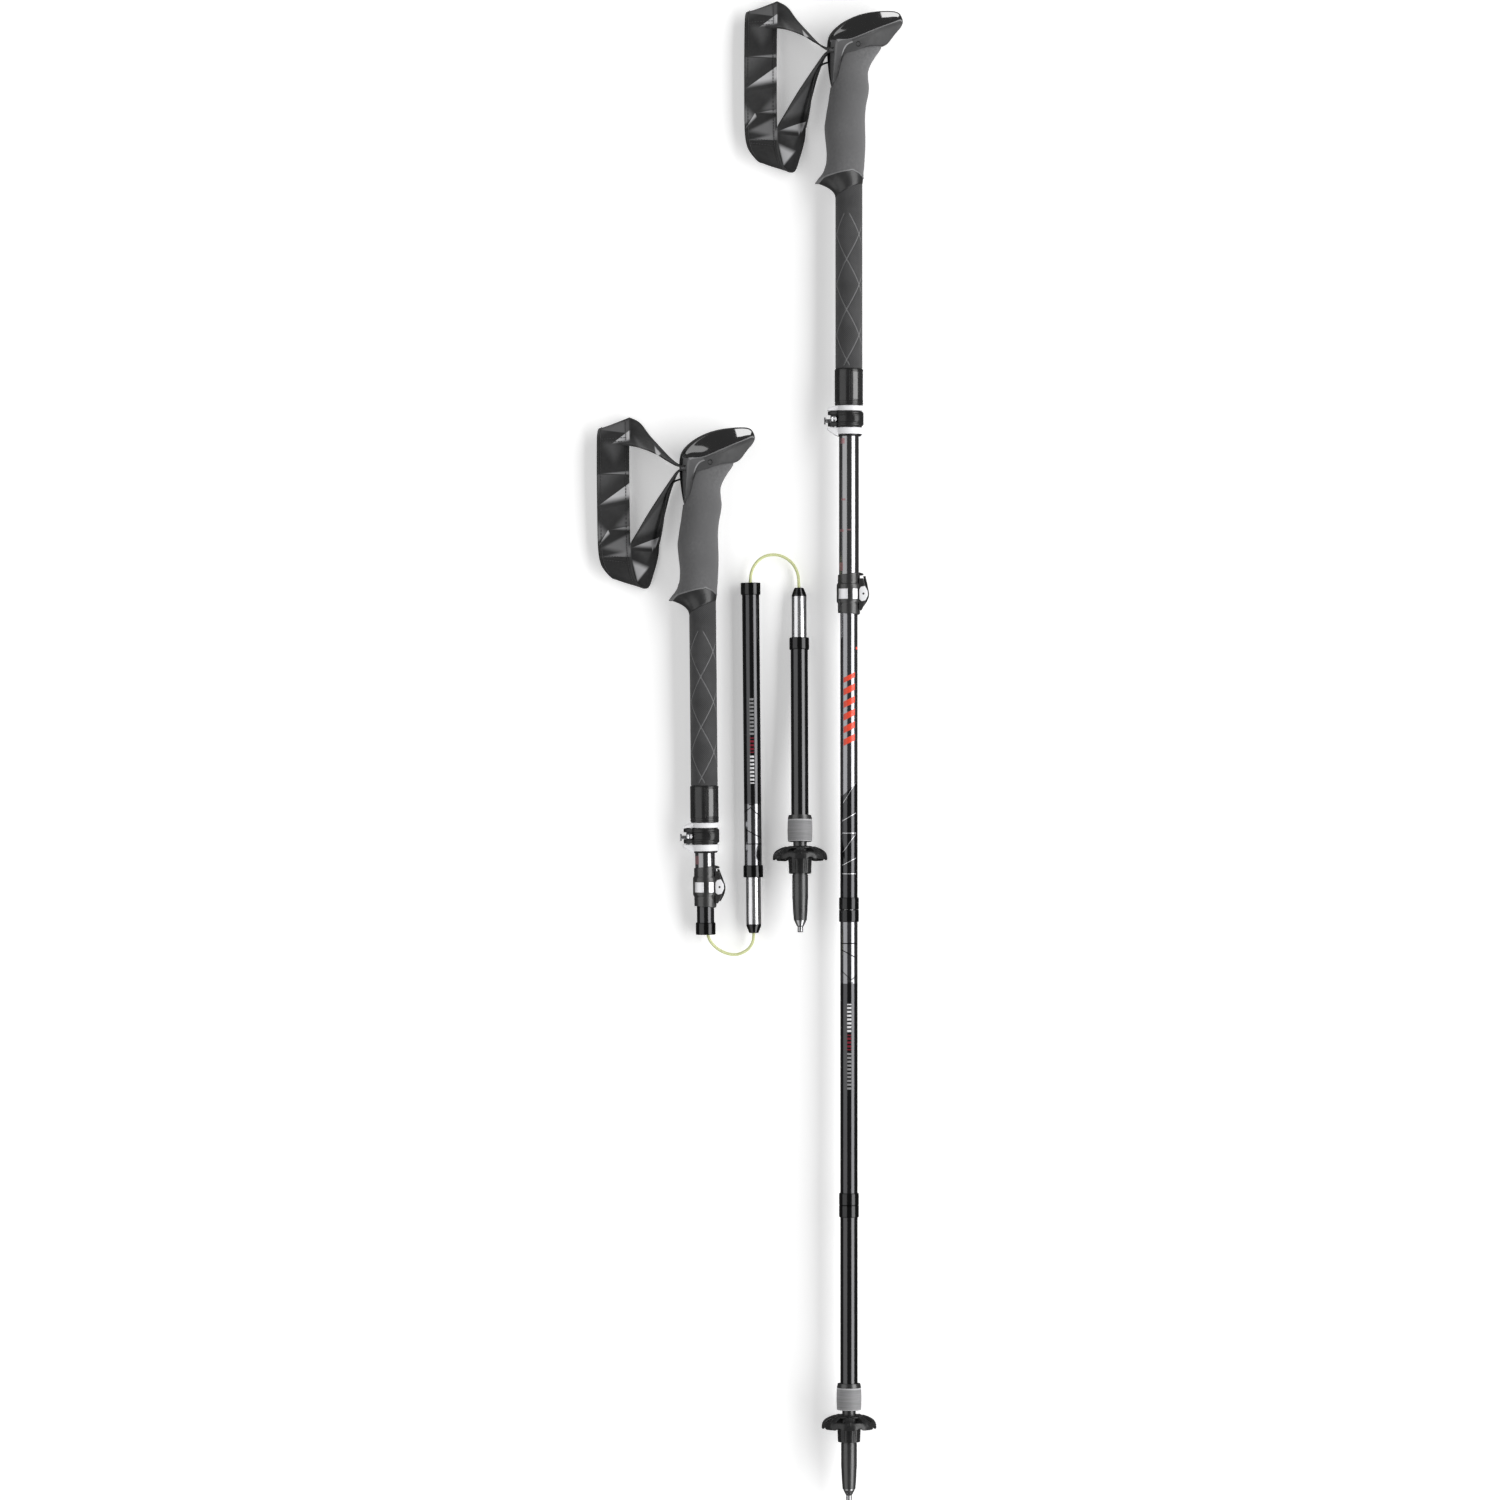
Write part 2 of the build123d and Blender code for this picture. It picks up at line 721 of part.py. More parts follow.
# The cord shows where it leaves each mouth of the folded pole, as far as the next nose.
lower_loop_route = [
    (-35.6, -141.0, 10.6), (-34.6, -151.2, 9.9), (-29.6, -159.0, 8.4), (-21.4, -164.6, 6.8),
    (-11.6, -166.8, 5.8), (-3.2, -163.4, 6.0), (1.4, -158.4, 7.2), (3.1, -151.9, 8.1),
]
upper_loop_route = [
    (0.5, 128.0, 8.2), (-0.4, 139.8, 8.1), (3.4, 151.0, 7.2), (12.2, 158.3, 6.0),
    (24.4, 158.7, 5.0), (34.4, 152.6, 4.8), (39.2, 143.2, 5.4), (39.75, 134.6, 6.3),
]
place(make_cord("lower loop", lower_loop_route), "folded_cord_lower", Plane.XY)
place(make_cord("upper loop", upper_loop_route), "folded_cord_upper", Plane.XY)
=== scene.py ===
from math import atan2, cos, degrees, dist, pi, radians, sin, sqrt, tan

import bmesh
import bpy
import numpy as np
from mathutils import Matrix, Vector


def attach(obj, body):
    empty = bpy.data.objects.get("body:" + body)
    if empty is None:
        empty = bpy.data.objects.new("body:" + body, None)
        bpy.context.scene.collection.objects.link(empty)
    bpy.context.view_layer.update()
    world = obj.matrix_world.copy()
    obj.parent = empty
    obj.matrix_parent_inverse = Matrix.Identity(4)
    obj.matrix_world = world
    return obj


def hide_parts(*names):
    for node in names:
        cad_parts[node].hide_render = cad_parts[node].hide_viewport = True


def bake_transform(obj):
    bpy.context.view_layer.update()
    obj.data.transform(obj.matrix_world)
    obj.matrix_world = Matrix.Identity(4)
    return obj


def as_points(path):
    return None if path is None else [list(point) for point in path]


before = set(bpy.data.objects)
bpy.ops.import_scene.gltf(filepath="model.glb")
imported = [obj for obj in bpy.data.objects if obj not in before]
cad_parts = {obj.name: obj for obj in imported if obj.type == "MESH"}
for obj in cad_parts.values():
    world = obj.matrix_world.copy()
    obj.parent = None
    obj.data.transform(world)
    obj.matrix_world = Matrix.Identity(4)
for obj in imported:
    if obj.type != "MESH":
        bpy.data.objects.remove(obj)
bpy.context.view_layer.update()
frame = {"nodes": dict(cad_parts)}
MM = 0.001

# ---------------------------------------------------------------- camera

VIEW_DISTANCE = 5.0
VIEW_WIDTH = 1.215
MID_HEIGHT = 0.018
SENSOR_WIDTH = 36.0
camera_data = bpy.data.cameras.new("camera")
camera_data.sensor_width = SENSOR_WIDTH
camera_data.lens = SENSOR_WIDTH * VIEW_DISTANCE / VIEW_WIDTH
camera = bpy.data.objects.new("camera", camera_data)
camera.location = (0, 0, VIEW_DISTANCE + MID_HEIGHT)
bpy.context.scene.collection.objects.link(camera)
bpy.context.scene.camera = camera

# ---------------------------------------------------------------- section frames, as in the CAD


def lying_frame(foot, rise, lean, toward=1, offset=0.0):
    """Matrix of a rigid section: local Z up the pole, X to the beak side, -Y facing up."""
    along = Vector((
        -toward * sin(radians(lean)), toward * cos(radians(rise)), sin(radians(rise))
    )).normalized()
    side = (Vector((1, 0, 0)) - along * along.x).normalized()
    matrix = Matrix((side, along.cross(side), along)).transposed().to_4x4()
    matrix.translation = (Vector(foot) + along * offset) * MM
    return matrix


# foot, rise and lean in degrees, and which way each stack of sections points
OPENED = ((80.1, -607.34, 22.68), -0.27, 0.0, 1)
FOLD_HANDLE = ((-35.9, -149.7, 10.4), 1.02, 0.55, 1)
FOLD_B = ((0.4, 135.7, 8.2), 0.0, 0.55, -1)
FOLD_C = ((40.7, -147.3, 26.9), -4.2, 0.19, 1)
# for each pole, the stack that a section lies in and its distance from that stack's foot
STACKS = {
    "open": {"handle": (OPENED, 861.4), "upper": (OPENED, 716.9), "a": (OPENED, 478.2),
             "b": (OPENED, 239.0), "c": (OPENED, 72.9), "tip": (OPENED, 0.0)},
    "folded": {"handle": (FOLD_HANDLE, 66.3), "upper": (FOLD_HANDLE, 21.8),
               "a": (FOLD_HANDLE, 0.0), "b": (FOLD_B, 0.0), "c": (FOLD_C, 72.9), "tip": (FOLD_C, 0.0)},
}
FRAMES = {pole: {name: lying_frame(*stack, offset) for name, (stack, offset) in sections.items()}
          for pole, sections in STACKS.items()}

# ---------------------------------------------------------------- mesh helpers


def new_object(name, verts, faces, matrix=None, material=None, smooth=True, scale=MM):
    """A mesh object from points in its frame, with all its faces turned outwards."""
    data = bpy.data.meshes.new(name)
    data.from_pydata([tuple(c * scale for c in v) for v in verts], [], faces)
    data.validate()
    data.polygons.foreach_set("use_smooth", [smooth] * len(data.polygons))
    turned_out = bmesh.new()
    turned_out.from_mesh(data)
    bmesh.ops.recalc_face_normals(turned_out, faces=turned_out.faces)
    turned_out.to_mesh(data)
    turned_out.free()
    data.update()
    obj = bpy.data.objects.new(name, data)
    bpy.context.scene.collection.objects.link(obj)
    if matrix is not None:
        obj.matrix_world = matrix
    if material is not None:
        data.materials.append(MATERIALS[material])
    return obj


def around(count):
    """Evenly spaced angles of a full turn."""
    return [2 * pi * j / count for j in range(count)]


def polar(radius, angle, height):
    """A point from its radius, angle and height round a section's axis."""
    return (radius * cos(angle), radius * sin(angle), height)


def unit(vectors):
    """The same directions with a length of 1."""
    return vectors / np.linalg.norm(vectors, axis=-1, keepdims=True)


def ramp(value, low, high):
    """Straight rise from 0 at low to 1 at high, or a fall where high is below low."""
    return min(1.0, max(0.0, (value - low) / (high - low)))


def hump(value, middle, half):
    """Rounded rise to 1 at the middle, and 0 further away than half."""
    return max(0.0, 1 - ((value - middle) / half) ** 2)


def ring_faces(rings, count, closed_rings=False, caps=True):
    """Quads between rings of count points each, wound the same way all along."""
    faces = []
    last = rings if closed_rings else rings - 1
    for i in range(last):
        a, b = i * count, ((i + 1) % rings) * count
        for j in range(count):
            k = (j + 1) % count
            faces.append((a + j, a + k, b + k, b + j))
    if caps and not closed_rings:
        faces.append(tuple(reversed(range(count))))
        faces.append(tuple((rings - 1) * count + j for j in range(count)))
    return faces


def smooth_rows(rows, steps):
    """Catmull-Rom rows through the given rows of numbers, with steps spans between each pair."""
    data = np.array(rows, float)
    ends = np.vstack([2 * data[0] - data[1], data, 2 * data[-1] - data[-2]])
    out = []
    for i in range(1, len(ends) - 2):
        p0, p1, p2, p3 = ends[i - 1], ends[i], ends[i + 1], ends[i + 2]
        for k in range(steps):
            t = k / steps
            out.append(0.5 * (2 * p1 + (p2 - p0) * t + (2 * p0 - 5 * p1 + 4 * p2 - p3) * t * t
                              + (3 * p1 - p0 - 3 * p2 + p3) * t ** 3))
    out.append(data[-1])
    return np.array(out)


def turned(name, profile, matrix, material, segments, centre=(0, 0, 0), axis=2):
    """A turned piece from a closed outline of (radius, place along the axis) pairs."""
    verts = []
    for a in around(segments):
        for radius, place in profile:
            point = [radius * cos(a), radius * sin(a)]
            point.insert(axis, place)
            verts.append([c + p for c, p in zip(centre, point)])
    faces = ring_faces(segments, len(profile), closed_rings=True)
    return new_object(name, verts, faces, matrix, material)


def store(obj, name, values):
    """Keeps a number for each point of the mesh, for its material to read."""
    obj.data.attributes.new(name, "FLOAT", "POINT").data.foreach_set("value", values)


def apply_modifiers(obj):
    """Replaces the mesh by what its modifiers make of it."""
    graph = bpy.context.evaluated_depsgraph_get()
    made = bpy.data.meshes.new_from_object(obj.evaluated_get(graph))
    obj.modifiers.clear()
    obj.data = made


def crease_sharp(obj, angle):
    """Smooth shading that keeps edges sharper than the angle."""
    obj.data.polygons.foreach_set("use_smooth", [True] * len(obj.data.polygons))
    obj.data.set_sharp_from_angle(angle=radians(angle))


def round_edges(obj, width, limit, crease):
    """Rounds the edges that are sharper than the limit, and keeps a crease at the angle given."""
    edge = obj.modifiers.new("edge", "BEVEL")
    edge.width = width * MM
    edge.segments = 3
    edge.limit_method = "ANGLE"
    edge.angle_limit = radians(limit)
    apply_modifiers(obj)
    crease_sharp(obj, crease)


def block(name, outline, ends, matrix, material, rounding=None, axis=1, smooth=True):
    """An outline drawn out between two ends along an axis, with (width, limit, crease) rounding."""
    verts = []
    for end in ends:
        for pair in outline:
            point = list(pair)
            point.insert(axis, end)
            verts.append(point)
    made = new_object(name, verts, ring_faces(2, len(outline)), matrix, material, smooth)
    if rounding:
        round_edges(made, *rounding)
    return made


def join(name, pieces):
    """One object from several, keeping their places and materials."""
    first = pieces[0]
    with bpy.context.temp_override(active_object=first, object=first, selected_objects=pieces,
                                   selected_editable_objects=pieces):
        bpy.ops.object.join()
    first.name = name
    return first


# ---------------------------------------------------------------- shader helper


class Shader:
    """Builds one procedural material around a Principled shader, in a section's frame if given."""

    def __init__(self, name, matrix=None, **constants):
        self.material = bpy.data.materials.new(name)
        self.material.use_nodes = True
        self.tree = self.material.node_tree
        self.shader = self.tree.nodes["Principled BSDF"]
        for key, value in constants.items():
            self.shader.inputs[key.replace("_", " ")].default_value = value
        source = self.tree.nodes.new("ShaderNodeTexCoord")
        self.place = source.outputs["Object"]
        if matrix is not None:
            mapping = self.tree.nodes.new("ShaderNodeMapping")
            mapping.vector_type = "TEXTURE"
            mapping.inputs["Location"].default_value = matrix.translation
            mapping.inputs["Rotation"].default_value = matrix.to_euler()
            self.tree.links.new(self.place, mapping.inputs["Vector"])
            self.place = mapping.outputs["Vector"]
        axes = self.node("ShaderNodeSeparateXYZ", {0: self.place})
        self.x, self.y, self.z = axes.outputs

    def set(self, socket, value):
        if isinstance(value, bpy.types.NodeSocket):
            self.tree.links.new(value, socket)
        else:
            socket.default_value = value

    def node(self, kind, inputs, **props):
        made = self.tree.nodes.new(kind)
        for key, value in props.items():
            setattr(made, key, value)
        for key, value in inputs.items():
            self.set(made.inputs[key], value)
        return made

    def math(self, operation, a, b=0.0, c=0.0):
        made = self.node("ShaderNodeMath", {0: a, 1: b, 2: c}, operation=operation)
        return made.outputs[0]

    def times(self, a, b):
        return self.math("MULTIPLY", a, b)

    def plus(self, a, b):
        return self.math("ADD", a, b)

    def minus(self, a, b):
        return self.math("SUBTRACT", a, b)

    def highest(self, a, b):
        return self.math("MAXIMUM", a, b)

    def mix(self, factor, a, b):
        a = (*a, 1) if isinstance(a, tuple) and len(a) == 3 else a
        b = (*b, 1) if isinstance(b, tuple) and len(b) == 3 else b
        made = self.node("ShaderNodeMix", {0: factor, 6: a, 7: b}, data_type="RGBA")
        return made.outputs[2]

    def fade(self, value, low, high, a=0.0, b=1.0):
        """Smooth step of value from low to high, giving a to b."""
        made = self.node("ShaderNodeMapRange", {0: value, 1: low, 2: high, 3: a, 4: b},
                         interpolation_type="SMOOTHSTEP")
        return made.outputs[0]

    def band(self, value, low, high, soft=0.00015):
        return self.times(self.fade(value, low - soft, low + soft),
                          self.fade(value, high - soft, high + soft, 1.0, 0.0))

    def slant(self, slope):
        """Height along the pole, sheared by the place across it."""
        return self.minus(self.z, self.times(self.x, slope))

    def noise(self, scale, detail=3.0, rough=0.55, stretch=None):
        place = self.place
        if stretch:
            mapping = self.node("ShaderNodeMapping", {"Vector": place, "Scale": stretch})
            place = mapping.outputs[0]
        made = self.node("ShaderNodeTexNoise",
                         {"Vector": place, "Scale": scale, "Detail": detail, "Roughness": rough})
        return made.outputs["Fac"]

    def base(self, colour):
        self.set(self.shader.inputs["Base Color"], (*colour, 1) if isinstance(colour, tuple) else colour)

    def rough(self, value):
        self.set(self.shader.inputs["Roughness"], value)

    def bump(self, height, distance, strength=1.0, after=None):
        inputs = {"Height": height, "Distance": distance, "Strength": strength}
        if after is not None:
            inputs["Normal"] = after
        made = self.node("ShaderNodeBump", inputs)
        self.tree.links.new(made.outputs[0], self.shader.inputs["Normal"])
        return made.outputs[0]


def grey(value):
    """A very slightly cool grey."""
    return (value, value, value * 1.02)


def mottled(shader, low, high, scale=60.0, detail=4.0):
    """Colour that wanders between two greys."""
    return shader.mix(shader.fade(shader.noise(scale, detail), 0.3, 0.7), low, high)


def paint(obj, material):
    """Gives a CAD node another material."""
    if obj.material_slots:
        for slot in obj.material_slots:
            slot.material = material
    else:
        obj.data.materials.append(material)


# ---------------------------------------------------------------- materials


def make_cord_material():
    """Yellow-green braid, with painted shade between its strands."""
    s = Shader("cord_braid", Specular_IOR_Level=0.25, Sheen_Weight=0.25, Sheen_Roughness=0.5)
    strand = s.node("ShaderNodeAttribute", {}, attribute_name="strand").outputs["Fac"]
    tone = s.mix(s.fade(s.noise(900.0, 2.0), 0.3, 0.7), (0.66, 0.70, 0.36), (0.80, 0.84, 0.48))
    # painted shade: the colour darkens where the braid dips between its strands
    s.base(s.mix(s.fade(strand, 0.2, 0.75), (0.48, 0.52, 0.24), tone))
    s.rough(s.fade(s.noise(1500.0), 0.2, 0.8, 0.62, 0.8))
    s.bump(s.noise(5200.0, 2.0, stretch=(1, 1, 0.3)), 0.00008, 0.5)
    return s.material


def make_foam_material(name, dark, light, grain):
    """Dry, finely pored foam with slightly worn patches."""
    s = Shader(name, Specular_IOR_Level=0.22, Sheen_Weight=0.12, Sheen_Roughness=0.6)
    worn = s.fade(s.noise(28.0, 3.0), 0.35, 0.75)
    s.base(s.mix(worn, dark, mottled(s, dark, light, 420.0, 5.0)))
    s.rough(s.fade(s.noise(60.0), 0.3, 0.7, 0.78, 0.9))
    cells = s.node("ShaderNodeTexVoronoi", {"Vector": s.place, "Scale": grain})
    first = s.bump(s.times(cells.outputs["Distance"], -1.0), 0.00012, 0.45)
    s.bump(s.noise(260.0, 4.0), 0.00035, 0.35, first)
    return s.material


def make_extension_material():
    """Dark foam with a slanting hatch, and paler grooves."""
    s = Shader("extension_foam", Specular_IOR_Level=0.22, Sheen_Weight=0.08, Sheen_Roughness=0.6)
    groove = s.node("ShaderNodeAttribute", {}, attribute_name="groove").outputs["Fac"]
    around = s.times(s.math("ARCTAN2", s.x, s.times(s.y, -1.0)), 0.0109)
    hatch = s.math("SINE", s.times(s.plus(s.z, around), 2 * pi / 0.0016))
    body = s.mix(s.fade(s.noise(35.0, 3.0), 0.35, 0.7), grey(0.040), grey(0.062))
    body = s.mix(s.fade(hatch, -0.4, 0.9, 0.0, 0.45), body, grey(0.085))
    s.base(s.mix(s.fade(groove, 0.15, 0.9, 0.0, 0.85), body, grey(0.21)))
    s.rough(s.fade(s.noise(80.0), 0.3, 0.7, 0.76, 0.9))
    first = s.bump(hatch, 0.00009, 0.5)
    s.bump(s.noise(1500.0, 3.0), 0.00012, 0.4, first)
    return s.material


def make_gloss_material(name, colour, rough_low, rough_high, coat=0.6, coat_ior=1.5):
    """Dark plastic under a clear coat, with fine scuffs."""
    s = Shader(name, Specular_IOR_Level=0.5, Coat_Weight=coat, Coat_Roughness=0.06, Coat_IOR=coat_ior)
    s.base(mottled(s, grey(colour), grey(colour * 1.35), 35.0))
    scuff = s.noise(240.0, 6.0, 0.7, (1, 1, 0.35))
    s.rough(s.fade(scuff, 0.35, 0.75, rough_low, rough_high))
    s.bump(s.noise(420.0, 3.0), 0.00004, 0.35)
    return s.material


def make_plastic_material(name, low, high, rough_low, rough_high, grain=1600.0, depth=0.00005,
                          shine=0.45):
    """Moulded plastic with a fine grain."""
    s = Shader(name, Specular_IOR_Level=shine)
    s.base(mottled(s, grey(low), grey(high), 50.0))
    s.rough(s.fade(s.noise(150.0, 5.0), 0.3, 0.75, rough_low, rough_high))
    s.bump(s.noise(grain, 3.0), depth, 0.5)
    return s.material


def make_ring_material(name, matrix):
    """Matt grey ring with fine turned lines and lighter ends."""
    s = Shader(name, matrix, Specular_IOR_Level=0.35)
    turned = s.noise(40.0, 3.0, 0.6, (1, 1, 60))
    colour = s.mix(s.fade(turned, 0.3, 0.7), grey(0.21), grey(0.29))
    ends = s.highest(s.fade(s.z, 0.0900, 0.0906), s.fade(s.z, 0.0738, 0.0744, 1.0, 0.0))
    s.base(s.mix(s.times(ends, 0.8), colour, grey(0.48)))
    s.rough(s.fade(turned, 0.3, 0.7, 0.5, 0.66))
    s.bump(turned, 0.00005, 0.5)
    return s.material


def make_steel_material(name, matrix=None, tone=0.72, stripe=2600.0, metallic=1.0, rough=0.2):
    """Bright metal, brushed along the section."""
    s = Shader(name, matrix, Metallic=metallic)
    brushed = s.noise(stripe, 3.0, 0.6, (1, 1, 0.05))
    s.base(s.mix(s.fade(brushed, 0.3, 0.7), grey(tone * 0.93), grey(tone)))
    s.rough(s.fade(brushed, 0.3, 0.7, rough, rough + 0.08))
    s.bump(brushed, 0.000012, 0.4)
    return s.material


def anodised(name, matrix):
    """Satin anodised tube: fine drawing lines along it, faint scuffs, and a patchy gloss."""
    s = Shader(name, matrix, Metallic=1.0)
    drawn = s.noise(1500.0, 3.0, 0.6, (1, 1, 0.01))
    s.rough(s.plus(s.fade(drawn, 0.3, 0.7, 0.13, 0.19),
                   s.fade(s.noise(60.0, 5.0, 0.7), 0.55, 0.8, 0.0, 0.05)))
    s.bump(drawn, 0.000012, 0.35)
    return s, s.fade(drawn, 0.3, 0.7)


GREY_METAL = 0.34
BLACK_METAL = 0.085
SILVER = (0.85, 0.85, 0.87)
PRINT_RED = (0.80, 0.075, 0.035)


def fine_lines(s, drawn, tone):
    """The drawing lines make a tube's tone a little darker and lighter."""
    return s.mix(drawn, grey(tone * 0.92), grey(tone * 1.05))


def make_tube_material(name, matrix, tone):
    """Plain tube without a print."""
    s, drawn = anodised(name, matrix)
    s.base(fine_lines(s, drawn, tone))
    return s.material


def two_tones(s, drawn, edge, upper_tone):
    """Black below an edge and grey above it, under the fine drawing lines."""
    tone = s.mix(edge, grey(BLACK_METAL), grey(upper_tone))
    return s.node("ShaderNodeMix", {0: 1.0, 6: tone, 7: fine_lines(s, drawn, 1.0)},
                  data_type="RGBA", blend_type="MULTIPLY").outputs[2]


def slanting_line(s, height, slope, left, right, half):
    """Thin line across a tube between two edges, climbing by its slope."""
    across = s.band(s.x, left, right)
    return s.times(s.band(s.slant(slope), height - half, height + half, 0.0001), across)


def any_of(s, masks):
    """Covers what any of the masks covers."""
    whole, *others = masks
    for mask in others:
        whole = s.highest(whole, mask)
    return whole


def in_front(s, mask):
    """Keeps a print on the side that faces up."""
    return s.times(mask, s.fade(s.y, -0.0004, 0.0004, 1.0, 0.0))


def ink_only(s, mask):
    """Ink is not metal."""
    s.set(s.shader.inputs["Metallic"], s.minus(1.0, mask))


def make_upper_material(name, matrix):
    """Grey tube with faint red setting marks along its left side."""
    s, drawn = anodised(name, matrix)
    colour = fine_lines(s, drawn, GREY_METAL)
    mark_width = 0.0032
    # height, half height and right edge of each mark
    blocks = [
        s.times(s.band(s.z, height - half, height + half), s.band(s.x, right - mark_width, right))
        for height, half, right in (
            (0.1405, 0.0022, -0.0036), (0.0931, 0.0008, -0.0030), (0.0680, 0.0010, -0.0044),
            (0.0686, 0.0005, 0.0014), (0.0388, 0.0034, -0.0050),
        )
    ]
    mask = in_front(s, s.times(any_of(s, blocks), 0.45))
    ink_only(s, mask)
    s.base(s.mix(mask, colour, (0.42, 0.06, 0.08)))
    return s.material


def make_shaft_a_material(name, matrix):
    """Grey above a slanting edge and black below, with thin slanting silver lines."""
    s, drawn = anodised(name, matrix)
    colour = two_tones(s, drawn, s.fade(s.slant(0.9), 0.0968, 0.0972), GREY_METAL)
    # height, slope, left and right end of each line
    lines = any_of(s, [slanting_line(s, *line, 0.00028) for line in (
        (0.0940, 1.61, -0.0050, 0.0052), (0.0749, 0.59, -0.0056, 0.0056),
        (0.0619, 0.0, -0.0056, 0.0056), (0.0534, 1.39, -0.0050, 0.0052),
        (0.0388, 0.54, -0.0056, 0.0056), (0.0290, 0.0, -0.0056, 0.0056),
    )])
    lines = in_front(s, s.times(lines, 0.8))
    colour = s.mix(lines, colour, SILVER)
    # a plain row of slanting red bars down the front
    bar_spacing = 0.0102
    beat = s.math("FRACT", s.times(s.slant(0.5), 1 / bar_spacing))
    bars = s.times(s.band(beat, 0.2, 0.72, 0.012), s.band(s.slant(0.5), 0.1302, 0.1898))
    bars = s.times(bars, s.band(s.x, -0.0044, 0.0048))
    dot = s.times(s.band(s.z, 0.2105, 0.2125), s.band(s.x, 0.0056, 0.0070))
    red = in_front(s, s.highest(bars, dot))
    ink_only(s, s.highest(red, s.times(lines, 0.6)))
    s.base(s.mix(red, colour, PRINT_RED))
    return s.material


def make_shaft_b_material(name, matrix):
    """Grey at its upper end with slanting edges, black below with small upright marks."""
    s, drawn = anodised(name, matrix)
    colour = two_tones(s, drawn, s.fade(s.z, 0.1792, 0.1796), GREY_METAL * 0.9)
    # height, slope, left and right end of each line
    for line in (
        (0.2119, 0.0, -0.008, 0.008), (0.2034, -0.55, -0.008, 0.008),
        (0.1840, -0.95, -0.008, 0.0018), (0.1812, 0.73, 0.0014, 0.008), (0.1800, 0.0, -0.001, 0.0032),
    ):
        colour = s.mix(in_front(s, slanting_line(s, *line, 0.0004)), colour, grey(0.012))
    mark_spacing = 0.0031
    beat = s.math("FRACT", s.times(s.z, 1 / mark_spacing))
    small = s.times(s.band(beat, 0.25, 0.8, 0.05), s.band(s.x, -0.0016, 0.0018))
    inks = []
    for low, high, ink in ((0.1395, 0.1630, grey(0.72)), (0.1256, 0.1380, (0.20, 0.016, 0.030)),
                           (0.0930, 0.1240, grey(0.26))):
        inks.append(in_front(s, s.times(small, s.band(s.z, low, high))))
        colour = s.mix(inks[-1], colour, ink)
    ink_only(s, any_of(s, inks))
    s.base(colour)
    return s.material


def facet(s, points, softness):
    """Covers a triangle of the side view, with each edge as soft as its own number in mm."""
    middle = [sum(p[i] for p in points) / 3 for i in (0, 1)]
    steps = []
    for i in range(3):
        (x0, z0), (x1, z1) = points[i], points[(i + 1) % 3]
        length = dist(points[i], points[(i + 1) % 3])
        nx, nz = -(z1 - z0) / length, (x1 - x0) / length
        if nx * (middle[0] - x0) + nz * (middle[1] - z0) < 0:
            nx, nz = -nx, -nz
        inside = s.minus(s.math("MULTIPLY_ADD", s.x, nx, s.times(s.z, nz)), (nx * x0 + nz * z0) * MM)
        steps.append(s.fade(inside, 0.0, softness[i] * MM))
    return s.times(s.times(steps[0], steps[1]), steps[2])


